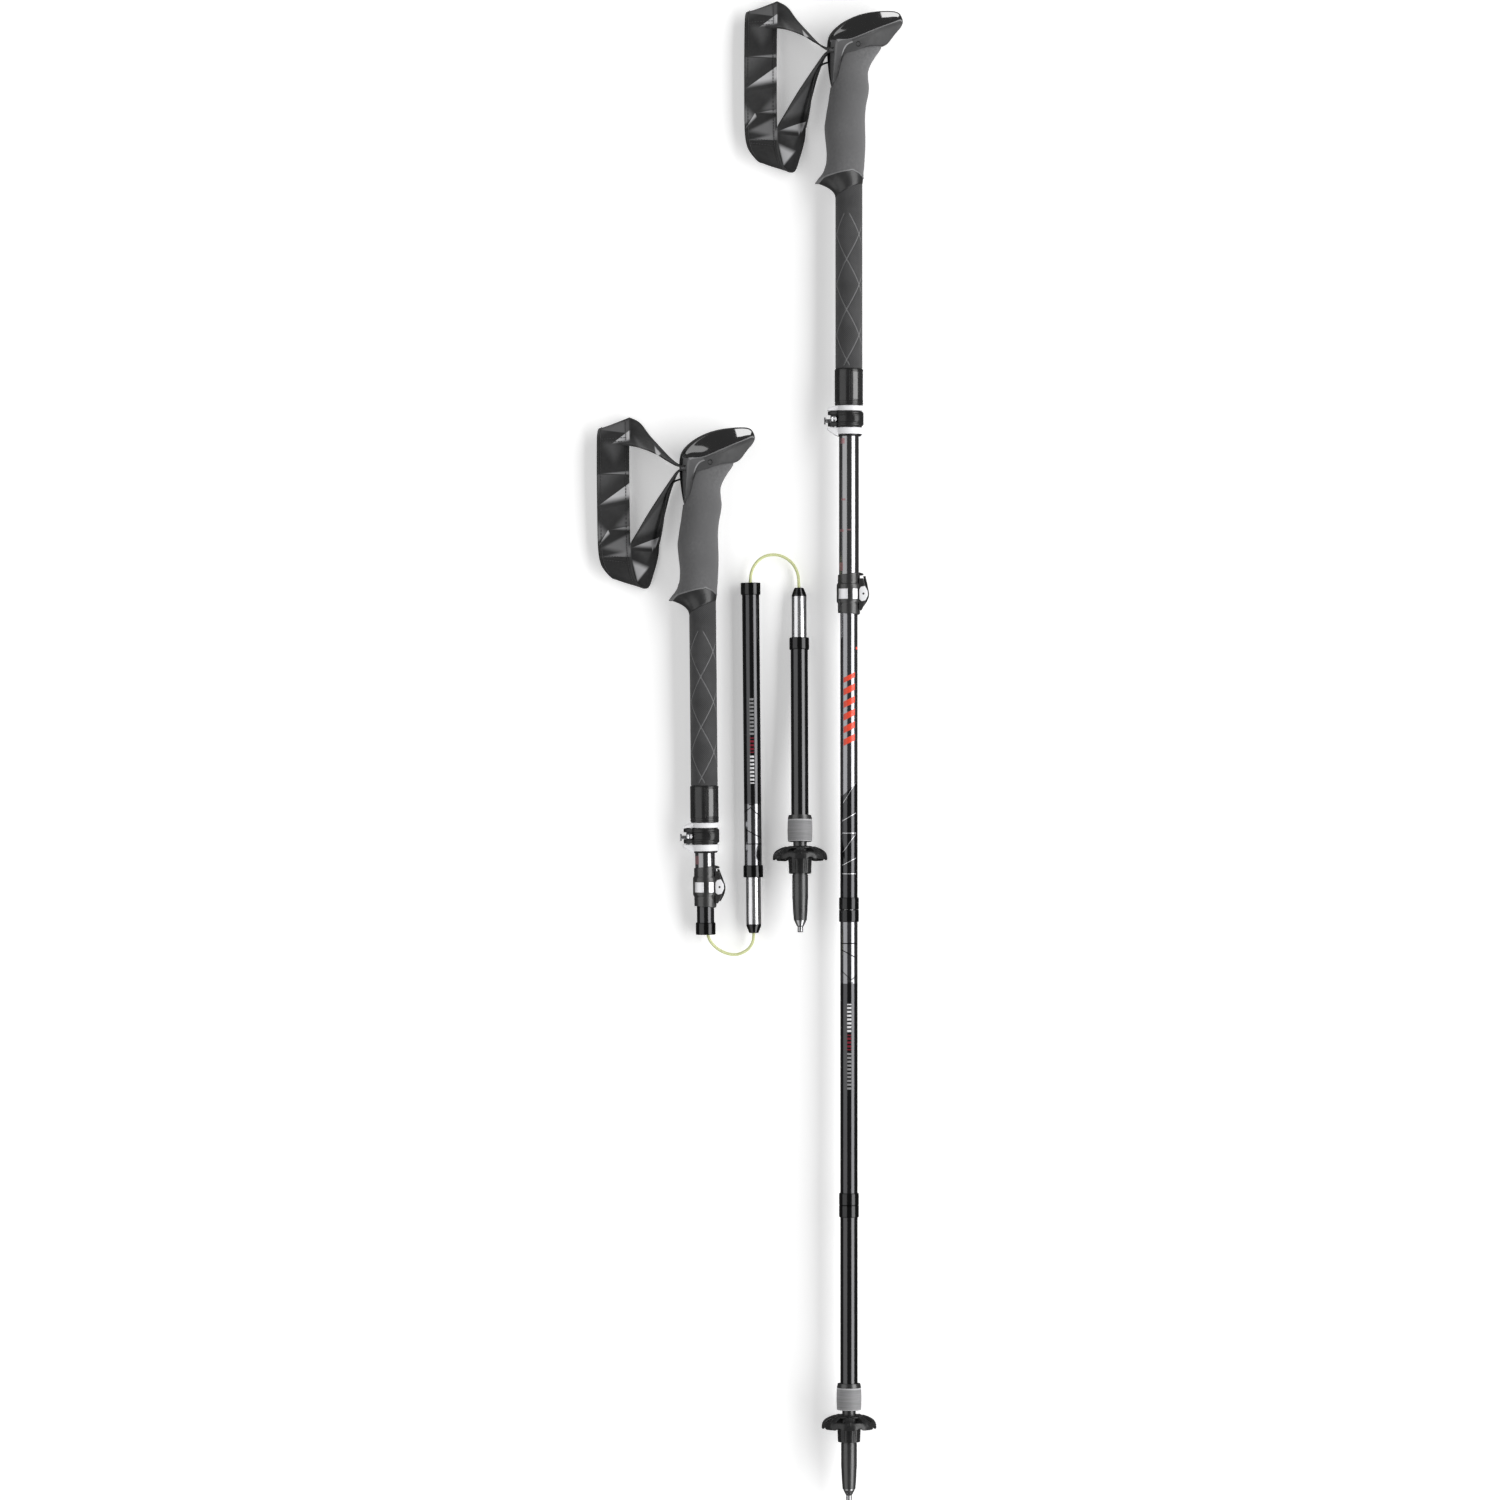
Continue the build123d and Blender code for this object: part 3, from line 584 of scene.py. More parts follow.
def make_webbing_material():
    """Black woven strap with the light and shade of its folds painted on as grey triangles."""
    s = Shader("strap_webbing", Specular_IOR_Level=0.35, Sheen_Weight=0.15, Sheen_Roughness=0.45)
    drift = s.fade(s.noise(22.0, 2.0), 0.35, 0.7)
    colour = s.mix(drift, grey(0.012), grey(0.026))
    # painted fold highlights and painted fold shade: corners in the handle's side view in mm, softness of
    # each edge in mm, and tone
    painted_fold_light = (
        ((-86, 352), (-54, 352), (-86, 333), (8, 10, 0.2), 0.085),
        ((-86, 344), (-56, 354), (-56, 340), (2, 6, 1), 0.110),
        ((-74.5, 331.0), (-57.0, 344.0), (-57.0, 334.0), (0.3, 2, 3), 0.50),
        ((-86, 337.0), (-56, 335.0), (-70, 309.0), (6, 8, 8), 0.060),
        ((-86, 308.4), (-57, 307.2), (-57, 311.0), (0.3, 3, 1.5), 0.20),
        ((-86, 308.0), (-57, 307.0), (-86, 284.0), (0.3, 14, 3), 0.075),
        ((-85.4, 281.2), (-57.0, 301.6), (-57.0, 286.5), (0.3, 1.5, 6), 0.55),
        ((-86, 279.0), (-57.0, 285.0), (-57.0, 262.0), (1, 6, 9), 0.030),
        ((-86, 274.0), (-74.0, 262.0), (-86, 250.0), (7, 2, 3), 0.160),
        ((-75.5, 263.0), (-57.0, 284.0), (-57.0, 262.0), (6, 2, 5), 0.130),
        ((-86, 247.0), (-75.8, 263.2), (-74.0, 259.0), (0.4, 1, 2.5), 0.420),
        ((-76.5, 262.6), (-57.0, 266.0), (-57.0, 261.0), (0.4, 1, 3), 0.300),
        ((-86, 247.0), (-57.0, 262.0), (-57.0, 240.0), (3, 2, 5), 0.140),
        ((-86, 240.5), (-57.0, 240.5), (-57.0, 248.0), (0.3, 4, 3), 0.170),
        ((-58.0, 345.0), (-36.0, 322.0), (-50.0, 322.0), (4, 6, 3), 0.085),
        ((-38.5, 332.0), (-32.0, 324.0), (-36.0, 318.0), (1, 1, 1), 0.45),
        ((-58.5, 252.0), (-28.0, 292.0), (-30.0, 262.0), (2, 5, 6), 0.065),
        ((-58.4, 247.6), (-34.0, 256.8), (-38.0, 246.2), (0.3, 1, 4), 0.40),
        ((-42.0, 254.0), (-37.0, 254.0), (-40.5, 243.0), (1, 1, 1), 0.34),
        ((-58.4, 246.0), (-39.0, 245.0), (-46.0, 230.0), (1, 3, 8), 0.050),
        ((-58.0, 240.0), (-53.0, 219.0), (-41.5, 233.0), (1.5, 2, 5), 0.55),
        ((-53.0, 219.0), (-42.0, 216.0), (-41.5, 233.0), (0.6, 2, 2), 0.020),
    )
    # each triangle paints a fold's highlight or shade over the black web
    for *points, softness, value in painted_fold_light:
        colour = s.mix(facet(s, points, softness), colour, grey(value))
    s.base(colour)
    s.rough(s.fade(s.noise(300.0), 0.3, 0.7, 0.55, 0.72))
    thread = 2 * pi / 0.0011
    warp = s.math("SINE", s.times(s.plus(s.x, s.z), thread))
    weft = s.math("SINE", s.times(s.minus(s.x, s.z), thread))
    first = s.bump(s.times(warp, weft), 0.00012, 0.5)
    s.bump(s.noise(1800.0, 2.0), 0.00006, 0.4, first)
    return s.material


MATERIALS = {
    "cord": make_cord_material(),
    "foam": make_foam_material("grip_foam", grey(0.118), grey(0.152), 2300.0),
    "extension": make_extension_material(),
    "gloss": make_gloss_material("head_gloss", 0.008, 0.10, 0.2, 1.0, 2.4),
    "panel": make_gloss_material("panel_gloss", 0.014, 0.22, 0.34, 0.7, 1.75),
    "scoop": make_gloss_material("lip_gloss", 0.022, 0.34, 0.48, 0.12),
    # painted highlight: light grey for the head's ridge and the lip's bead
    "edge": make_plastic_material("head_edge_highlight", 0.16, 0.24, 0.3, 0.42),
    "rubber": make_plastic_material("head_rubber", 0.085, 0.115, 0.55, 0.7, 1800.0, 0.00008),
    "rubber_dark": make_plastic_material("head_rubber_dark", 0.040, 0.060, 0.5, 0.68, 1800.0, 0.00008),
    "black": make_plastic_material("moulded_black", 0.012, 0.020, 0.22, 0.36),
    "satin": make_plastic_material("satin_black", 0.016, 0.026, 0.26, 0.36, 700.0, 0.00002, 1.0),
    "sleeve": make_gloss_material("sleeve_black", 0.014, 0.2, 0.34, 0.3),
    "light": make_plastic_material("moulded_light", 0.80, 0.88, 0.34, 0.48),
    "webbing": make_webbing_material(),
    "thread": make_plastic_material("strap_thread", 0.030, 0.055, 0.6, 0.75),
    "steel": make_steel_material("bright_steel"),
    "carbide": make_steel_material("ground_carbide", tone=0.42, stripe=1500.0),
    "plate": make_steel_material("lock_plate_steel", tone=0.95, metallic=0.55, rough=0.38),
}

# ---------------------------------------------------------------- tension cord

CORD_DIAMETER = 0.0025
LOWER_LOOP = [
    (-0.0356, -0.1410, 0.0106), (-0.0346, -0.1512, 0.0099), (-0.0296, -0.1590, 0.0084),
    (-0.0214, -0.1646, 0.0068), (-0.0116, -0.1668, 0.0058), (-0.0032, -0.1634, 0.0060),
    (0.0014, -0.1584, 0.0072), (0.00315, -0.1522, 0.0081), (0.0031, -0.1440, 0.0082),
]
UPPER_LOOP = [
    (0.0005, 0.1280, 0.0082), (-0.0004, 0.1398, 0.0081), (0.0034, 0.1510, 0.0072),
    (0.0122, 0.1583, 0.0060), (0.0244, 0.1587, 0.0050), (0.0344, 0.1526, 0.0048),
    (0.0392, 0.1432, 0.0054), (0.03975, 0.1339, 0.00625), (0.03978, 0.1266, 0.0068),
]


def route_line(name, route):
    """Points along the route's NURBS spline."""
    data = bpy.data.curves.new(name, "CURVE")
    data.dimensions = "3D"
    data.resolution_u = 24
    spline = data.splines.new("NURBS")
    spline.points.add(len(route) - 1)
    for point, place in zip(spline.points, route):
        point.co = (*place, 1.0)
    spline.order_u = 3
    spline.use_endpoint_u = True
    obj = bpy.data.objects.new(name, data)
    bpy.context.scene.collection.objects.link(obj)
    line = bpy.data.meshes.new_from_object(obj)
    points = np.array([v.co for v in line.vertices], float)
    bpy.data.objects.remove(obj)
    return points


def evenly(points, step):
    """The same line with points a step apart."""
    runs = np.linalg.norm(np.diff(points, axis=0), axis=1)
    at = np.concatenate([[0], np.cumsum(runs)])
    count = max(2, int(round(at[-1] / step)) + 1)
    places = np.linspace(0, at[-1], count)
    return np.stack([np.interp(places, at, points[:, i]) for i in range(3)], axis=1), at[-1]


def braided_tube(name, line, diameter, segments=30, strands=5, pitch=0.0105, relief=0.00011):
    """A round cord whose surface carries two crossing sets of strands."""
    points, length = evenly(line, 0.00032)
    tangents = unit(np.gradient(points, axis=0))
    side = np.cross(tangents[0], (0, 0, 1.0))
    verts, strand = [], []
    for i, (centre, tangent) in enumerate(zip(points, tangents)):
        side = unit(side - tangent * np.dot(side, tangent))
        other = np.cross(tangent, side)
        turn = 2 * pi * i * length / (len(points) - 1) / pitch
        for a in around(segments):
            high = 0.5 + 0.5 * max(cos(strands * (a + turn)), cos(strands * (a - turn)))
            radius = diameter / 2 - relief + relief * high
            verts.append(centre + radius * (cos(a) * side + sin(a) * other))
            strand.append(high)
    obj = new_object(name, verts, ring_faces(len(points), segments), material="cord", scale=1.0)
    store(obj, "strand", strand)
    return obj, points, length


def make_cord(name, route):
    """Tension cord along its route."""
    line = route_line(name + "_route", route)
    cord, path, length = braided_tube(name + "_braid", line, CORD_DIAMETER)
    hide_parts(name)
    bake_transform(cord)
    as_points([tuple(p) for p in path[::4]] + [tuple(path[-1])])
    return cord


make_cord("folded_cord_lower", LOWER_LOOP)
make_cord("folded_cord_upper", UPPER_LOOP)

# ---------------------------------------------------------------- grip

# height, left edge, right edge and half depth of the foam grip
FOAM_ROWS = [
    (201.0, -23.5, 12.1, 14.8), (204.5, -27.0, 11.8, 14.9), (207.8, -25.4, 11.7, 14.8),
    (211.0, -22.8, 11.9, 14.6), (214.2, -20.7, 12.0, 14.3), (217.5, -19.6, 12.4, 14.2),
    (220.7, -18.6, 12.6, 14.3), (227.2, -18.1, 13.0, 14.7), (233.7, -18.4, 13.3, 15.0),
    (240.2, -19.1, 13.4, 15.3), (249.9, -19.8, 13.2, 15.4), (256.4, -19.0, 13.1, 15.3),
    (262.8, -18.1, 13.4, 15.0), (269.3, -16.9, 14.2, 14.7), (275.8, -16.0, 15.6, 14.5),
    (282.3, -15.1, 16.3, 14.4), (288.8, -15.2, 15.7, 14.5), (295.2, -16.0, 15.6, 14.7),
    (301.7, -16.6, 18.0, 14.9), (308.2, -16.8, 22.0, 14.7), (313.0, -16.0, 25.4, 13.6),
    (318.0, -12.0, 27.0, 10.0),
]
FOAM_TABLE = smooth_rows(FOAM_ROWS, 8)
# inner radii of the pieces that the handle tube runs through
FOAM_BORE, LIP_BORE, EXTENSION_BORE = 9.3, 10.2, 9.05


def foam_oval(height):
    """Centre, half width and half depth of the foam at a height."""
    left, right, depth = (np.interp(height, FOAM_TABLE[:, 0], FOAM_TABLE[:, i]) for i in (1, 2, 3))
    return (left + right) / 2, (right - left) / 2, depth


def foam_point(height, angle, shrink=0.0):
    """Point of the foam's surface; angle 0 is the beak side and 270 degrees faces up."""
    centre, half, depth = foam_oval(height)
    return (centre + (half - shrink) * cos(angle), (depth - shrink) * sin(angle), height)


def foam_depth(x, height):
    """Half depth of the foam at a place in its side view."""
    centre, half, depth = foam_oval(height)
    return depth * sqrt(hump(x, centre, half))


# lines across the side view of the foam, as (x, z) places: its top under the head, the lip round
# its foot, and the scoop's lower edge
TOP_LINE = [(-30, 280.0), (-13.6, 282.5), (-9.1, 290.6), (-7.4, 298.0), (-5.6, 305.5), (-3.6, 309.8),
            (5.4, 312.4), (14.7, 316.0), (40, 317.0)]
LIP_LINE = [(-30, 203.0), (-27.2, 204.3), (-20.3, 209.4), (-6.5, 213.0), (2.8, 214.6), (8.0, 212.2),
            (11.9, 208.5), (20, 208.0)]
SCOOP_LINE = [(-11.0, 193.5), (-8.7, 196.0), (2.9, 201.8), (11.0, 204.6)]
# heights between which the foam's surface meets the lip's line and the top line
LIP_SPAN = (201.5, 216.0)
TOP_SPAN = (278.0, 317.5)


def height_on(line, angle, low, high):
    """Height at which the foam's surface meets a line drawn on its side view."""
    xs, zs = zip(*line)
    for _ in range(40):
        middle = (low + high) / 2
        if middle < np.interp(foam_point(middle, angle)[0], xs, zs):
            low = middle
        else:
            high = middle
    return low


def make_foam(pole):
    """Foam grip between its lower lip and the head, with a bore for the tube."""
    segments, rows = 88, 84
    columns = [(a, height_on(LIP_LINE, a, *LIP_SPAN), height_on(TOP_LINE, a, *TOP_SPAN))
               for a in around(segments)]
    verts = [polar(FOAM_BORE, a, bottom + 0.7) for a, bottom, top in columns]
    verts += [foam_point(bottom - 0.2, a, 0.9) for a, bottom, top in columns]
    for i in range(rows):
        share = i / (rows - 1)
        for a, bottom, top in columns:
            ripple = 0.01 * sin(9 * a + share * 21) * sin(share * 47 + 3 * a)
            verts.append(foam_point(bottom + 0.1 + share * (top - bottom - 0.1), a, ripple))
    verts += [foam_point(top + 0.2, a, 0.8) for a, bottom, top in columns]
    verts += [polar(FOAM_BORE, a, top + 0.4) for a, bottom, top in columns]
    return new_object(f"{pole}_foam_grip", verts, ring_faces(rows + 4, segments, closed_rings=True),
                      FRAMES[pole]["handle"], "foam")


# Side-view stations of the head, from the tip of its tongue to the beak. Each has the outline T,
# rim edge R, ridge E, panel edge K and lower boundary B as (x, z), then half depths at R, E and B.
HEAD = [
    ((-13.9, 280.6), (-13.6, 281.0), (-13.2, 281.6), (-12.9, 282.1), (-12.5, 282.8), 0, 0, 0),
    ((-15.7, 288.6), (-14.5, 288.8), (-12.5, 289.2), (-10.3, 289.6), (-9.3, 289.9), 0, 0, 0),
    ((-16.7, 295.2), (-15.0, 295.4), (-12.0, 296.0), (-8.6, 296.8), (-7.6, 297.0), 0, 0, 0),
    ((-17.4, 301.7), (-15.2, 302.0), (-11.6, 302.8), (-7.1, 303.7), (-6.1, 304.0), 0, 0, 0),
    ((-17.9, 308.2), (-15.2, 308.6), (-11.4, 309.2), (-5.9, 308.2), (-4.6, 307.6), 9.4, 14.2, 15.0),
    ((-18.2, 314.7), (-15.0, 315.0), (-11.2, 315.2), (-5.0, 311.2), (-3.2, 308.9), 9.3, 15.0, 15.1),
    ((-17.8, 321.2), (-14.2, 320.6), (-10.6, 320.3), (-4.2, 313.0), (-1.2, 309.6), 9.2, 15.8, 15.2),
    ((-16.2, 325.6), (-12.6, 324.4), (-6.5, 319.9), (-2.9, 315.2), (0.8, 310.0), 9.4, 16.1, 15.2),
    ((-12.6, 330.0), (-9.9, 327.8), (-2.0, 319.5), (-0.8, 317.2), (3.2, 310.6), 9.8, 16.3, 15.2),
    ((-7.7, 334.1), (-5.8, 331.6), (2.0, 320.1), (2.5, 318.4), (5.8, 311.2), 10.0, 16.4, 15.1),
    ((-2.3, 337.4), (-1.0, 335.3), (6.0, 321.5), (6.4, 319.8), (8.8, 312.2), 10.0, 16.4, 14.9),
    ((4.8, 340.6), (5.6, 338.8), (11.0, 323.7), (11.2, 321.8), (12.2, 313.9), 10.0, 16.1, 14.3),
    ((12.0, 342.7), (12.4, 341.0), (16.5, 326.0), (16.5, 324.0), (16.2, 315.3), 9.8, 15.4, 13.4),
    ((20.0, 344.1), (20.2, 342.6), (22.5, 328.6), (22.3, 326.6), (21.5, 315.4), 9.3, 14.2, 10.6),
    ((28.0, 344.7), (28.0, 343.4), (29.0, 331.4), (28.6, 329.2), (27.3, 315.9), 7.2, 12.2, 4.6),
    ((34.0, 344.8), (33.8, 343.6), (34.2, 333.5), (33.6, 331.2), (31.6, 317.9), 4.8, 9.4, 1.6),
    ((38.5, 344.4), (38.0, 343.2), (38.2, 335.3), (37.6, 332.8), (34.7, 322.4), 3.2, 6.9, 1.2),
    ((41.5, 342.6), (40.8, 341.7), (40.8, 336.6), (40.4, 334.4), (38.5, 327.4), 2.2, 4.8, 0.9),
    ((43.2, 339.4), (42.6, 339.0), (42.4, 337.2), (42.2, 335.4), (41.5, 330.2), 1.5, 3.0, 0.7),
    ((44.1, 335.4), (43.9, 335.3), (43.7, 335.2), (43.6, 334.8), (43.5, 334.0), 0.9, 1.2, 0.4),
]


def head_ring(station):
    """One closed section of the head, from the crown down one side and up the other."""
    top, rim, ridge, panel, low, rim_y, ridge_y, low_y = station
    tongue = rim_y == 0
    if tongue:
        rim_y = foam_depth(rim[0] - 0.6, rim[1]) + 0.5
        ridge_y = foam_depth(ridge[0], ridge[1]) + 0.7
        low_y = foam_depth(low[0], low[1]) + 0.5

    def between(p, q, share, y):
        return (p[0] + (q[0] - p[0]) * share, y, p[1] + (q[1] - p[1]) * share)

    reach = max(0.1, dist(rim, ridge))
    drop = max(0.1, dist(panel, low))
    dish = 0.0 if tongue else min(1.3, reach * 0.1)
    step = 0.0 if tongue else min(0.7, ridge_y * 0.08)
    panel_y = ridge_y + (low_y - ridge_y) * 0.35
    side = [
        between(top, rim, 0.3, rim_y * 0.62),
        between(top, rim, 1.0, rim_y),
        between(rim, ridge, 0.3, rim_y + (ridge_y - rim_y) * 0.36 - dish),
        between(rim, ridge, 0.68, rim_y + (ridge_y - rim_y) * 0.72 - dish),
        between(rim, ridge, max(0.0, 1 - 0.6 / reach), ridge_y - step),
        between(rim, ridge, 1.0, ridge_y),
        between(ridge, panel, min(0.5, 0.9 / reach), ridge_y - step * 0.6),
        between(ridge, panel, 1.0, panel_y),
        between(panel, low, min(0.6, 0.9 / drop), panel_y - (0.7 if not tongue else 0.1)),
        between(panel, low, 1.0, low_y),
        between(panel, low, 1.0, max(0.2, low_y - 2.4)),
    ]
    ring = [(top[0], 0.0, top[1])]
    ring += [(x, -y, z) for x, y, z in side]
    ring += [(x, y, z) for x, y, z in reversed(side)]
    return ring


def make_head(pole):
    """Glossy head with a painted highlight in lighter grey along its ridge and panel edge, soft sides and a
    darker foot.
    """
    rings = [head_ring(station) for station in HEAD]
    count = len(rings[0])
    half = (count + 1) // 2
    head = new_object(f"{pole}_grip_head", [v for ring in rings for v in ring],
                      ring_faces(len(rings), count), FRAMES[pole]["handle"], "gloss")
    # the edge finish is a painted highlight: lighter grey along the ridge and along the panel's edge
    for key in ("edge", "rubber", "rubber_dark"):
        head.data.materials.append(MATERIALS[key])
    gloss, edge, rubber, dark = range(4)
    for face in head.data.polygons:
        columns = sorted({v % count for v in face.vertices})
        station = min(v // count for v in face.vertices)
        low = columns[0] if columns[-1] - columns[0] == 1 else columns[-1]
        row = low if low < half else count - 1 - low
        if len(face.vertices) > 4:
            finish = dark if station > 5 else gloss
        elif row <= 1:
            finish = gloss
        elif row <= 4:
            finish = gloss if station >= 6 else rubber
        elif row <= 6:
            finish = edge if station >= 6 else rubber
        elif row == 7:
            finish = rubber if station < 9 else dark
        else:
            finish = edge if row == 8 and station < 9 else dark
        face.material_index = finish
    crease = head.data.attributes.new("crease_edge", "FLOAT", "EDGE")
    for edge in head.data.edges:
        a, b = (v % count for v in edge.vertices)
        side = a if a < half else count - a
        if a == b and side in (2, 6, 8):
            crease.data[edge.index].value = 0.75
        elif a == b and side in (5, 7, 9, 10):
            crease.data[edge.index].value = 0.5
    smooth = head.modifiers.new("smooth", "SUBSURF")
    smooth.levels = smooth.render_levels = 3
    apply_modifiers(head)
    return head


def make_lip(pole):
    """Glossy scoop under the foam's flared foot, with a bead where they meet that carries a painted
    highlight in light grey.
    """
    matrix = FRAMES[pole]["handle"]
    segments, rows, bead_segments, bead_radius = 88, 14, 8, 0.62
    xs, zs = zip(*SCOOP_LINE)
    edges = [(a, height_on(LIP_LINE, a, *LIP_SPAN)) for a in around(segments)]
    verts = []
    for i in range(rows + 1):
        t = i / rows
        for a, height in edges:
            outer = foam_point(height + 0.7, a, 0.15)
            x, y = 11.05 * cos(a), 11.05 * sin(a)
            z = np.interp(x, xs, zs)
            bend = (x * 1.04, y * 1.04, z + 0.62 * (outer[2] - z))
            verts.append([(1 - t) ** 2 * p + 2 * t * (1 - t) * q + t * t * r
                          for p, q, r in zip(outer, bend, (x, y, z))])
    verts += [polar(LIP_BORE, a, np.interp(11 * cos(a), xs, zs) + 0.4) for a, _ in edges]
    verts += [polar(LIP_BORE, a, 206.5) for a, _ in edges]
    lip = new_object(f"{pole}_grip_lip", verts, ring_faces(rows + 3, segments, closed_rings=True),
                     matrix, "scoop")
    verts = []
    for a, height in edges:
        x, y, z = foam_point(height + 0.5, a, 0.25)
        for b in around(bead_segments):
            out = 1 + bead_radius * cos(b) / sqrt(x * x + y * y)
            verts.append((x * out, y * out, z + bead_radius * sin(b)))
    # the bead's light grey finish is a painted highlight along the lip's rim
    bead = new_object(f"{pole}_lip_bead", verts, ring_faces(segments, bead_segments, closed_rings=True),
                      matrix, "edge")
    return join(f"{pole}_grip_lip", [lip, bead])


def make_head_pins(pole):
    """Cross pin's two ends, each a shallow cup in the side of the head."""
    profile = ((2.3, -0.35), (2.1, 0.10), (1.6, 0.12), (1.35, -0.35), (0.8, -0.6), (0.05, -0.6))
    pins = [turned(f"{pole}_head_pin", [(r, side * (15.15 + out)) for r, out in profile],
                   FRAMES[pole]["handle"], "black", 32, (7.5, 0, 316.2), axis=1) for side in (-1, 1)]
    return join(f"{pole}_head_pins", pins)


EXTENSION_BOTTOM, EXTENSION_TOP = 54.7, 205.0
EXTENSION_RADIUS = 10.9
GROOVE_STARTS = 3
GROOVE_SPACING = 40.75


def groove_depth(angle, height):
    """How far a point of the sleeve lies in one of the crossing spiral grooves, from 0 to 1."""
    rate = 360 / (GROOVE_STARTS * GROOVE_SPACING)
    front = degrees(atan2(cos(angle), -sin(angle)))
    deep = 0.0
    for phase in (front + rate * (height - 180.2), front - rate * (height - 146.2)):
        off = ((phase + 60) % 120 - 60) / rate
        deep = max(deep, hump(off * 0.86, 0, 1.05))
    return deep * min(ramp(height, 181, 179), ramp(height, 56, 57.5))


def make_extension(pole):
    """Lower foam sleeve with its crossing grooves."""
    segments, step = 132, 0.62
    rows = int((EXTENSION_TOP - EXTENSION_BOTTOM) / step)
    verts, groove = [], []
    for i in range(rows + 3):
        height = EXTENSION_BOTTOM + min(rows, max(0, i - 1)) * (EXTENSION_TOP - EXTENSION_BOTTOM) / rows
        for a in around(segments):
            deep = groove_depth(a, height)
            radius = EXTENSION_RADIUS - 0.55 * deep
            if i in (0, rows + 2):
                radius = EXTENSION_BORE
            elif i == 1:
                radius = EXTENSION_RADIUS - 0.4
            verts.append(polar(radius, a, height))
            groove.append(deep)
    sleeve = new_object(f"{pole}_extension_sleeve", verts,
                        ring_faces(rows + 3, segments, closed_rings=True),
                        FRAMES[pole]["handle"], "extension")
    store(sleeve, "groove", groove)
    return sleeve


# ---------------------------------------------------------------- wrist strap

# centre of the webbing and its crosswise direction, from the head round the loop and back
STRAP = [
    ((-12.0, 0, 313.6), (0, 1, 0)), ((-18.5, 0, 314.2), (0.05, 1, 0.05)),
    ((-26, 1.2, 319), (0.08, 0.98, 0.10)), ((-35.6, 3.0, 326.8), (0.17, 0.96, 0.20)),
    ((-47, 5.6, 334.5), (0.36, 0.84, 0.40)), ((-56, 9.4, 339.8), (0.60, 0.50, 0.60)),
    ((-63, 12.0, 343.6), (0.78, 0.12, 0.60)), ((-67.6, 12.0, 346.8), (0.88, 0, 0.47)),
    ((-70.2, 9.4, 348.8), (0.943, 0, 0.332)), ((-71.1, 6.8, 345.4), (0.97, 0, 0.24)),
    ((-71.3, 6.0, 335), (1, 0, 0.04)), ((-71.5, 5.6, 320), (1, 0, 0)), ((-71.6, 5.2, 303), (1, 0, 0)),
    ((-71.6, 5.4, 285), (1, 0, 0)), ((-71.5, 5.8, 262), (1, 0, 0)), ((-71.1, 6.2, 246), (1, 0, -0.02)),
    ((-69.4, 6.6, 233), (0.98, 0, -0.18)), ((-65.8, 7.4, 224.3), (0.947, 0, -0.32)),
    ((-60.6, 9.9, 219.6), (0.947, 0, -0.32)), ((-55.8, 12.3, 220.6), (0.947, 0, -0.32)),
    ((-52.0, 12.0, 231), (0.95, 0.08, -0.31)), ((-47.8, 10.2, 244), (0.90, 0.32, -0.29)),
    ((-43.5, 6.2, 257), (0.68, 0.69, -0.25)), ((-38.5, 4.2, 269.5), (0.50, 0.84, -0.2)),
    ((-33.6, 3.2, 281), (0.34, 0.93, -0.15)), ((-26, 1.5, 297), (0.12, 0.98, -0.06)),
    ((-18.5, 0, 309.6), (0, 1, 0)), ((-12.0, 0, 309.8), (0, 1, 0)),
]
STRAP_WIDTH = 26.5
STRAP_THICKNESS = 1.5


def strap_rows():
    """Centres and crosswise directions along the web, and how far along it each row is."""
    rows = smooth_rows([[*centre, *across] for centre, across in STRAP], 14)
    runs = np.linalg.norm(np.diff(rows[:, :3], axis=0), axis=1)
    return rows[:, :3], unit(rows[:, 3:]), np.concatenate([[0], np.cumsum(runs)])


def make_strap(pole):
    """The webbing and its length round the loop."""
    centres, across, at = strap_rows()
    along = unit(np.gradient(centres, axis=0))
    along = unit(along - across * np.sum(along * across, axis=1)[:, None])
    # (place across the width, half thickness): flat web with a rounded bound edge
    bound = [(0.405, 0.62), (0.43, 0.86), (0.465, 0.85), (0.49, 0.55), (0.5, 0.12)]
    profile = [(-u, half) for u, half in reversed(bound)]
    profile += [(-0.36 + 0.09 * i, 0.60) for i in range(9)] + bound
    verts = []
    for centre, side, out, place in zip(centres, across, np.cross(across, along), at):
        for sign, points in ((1, profile), (-1, reversed(profile))):
            for u, half in points:
                wave = 0.35 * sin(place * 0.21 + 2.4 * u) * (1 - (2 * u) ** 2)
                rib = 0.05 * sin(place * 5.2) * (abs(u) < 0.4)
                verts.append(centre + side * (u * STRAP_WIDTH)
                             + out * (sign * (half + rib) * STRAP_THICKNESS / 2 + wave))
    strap = new_object(f"{pole}_wrist_webbing", verts, ring_faces(len(centres), 2 * len(profile)),
                       FRAMES[pole]["handle"], "webbing")
    return strap, at[-1]


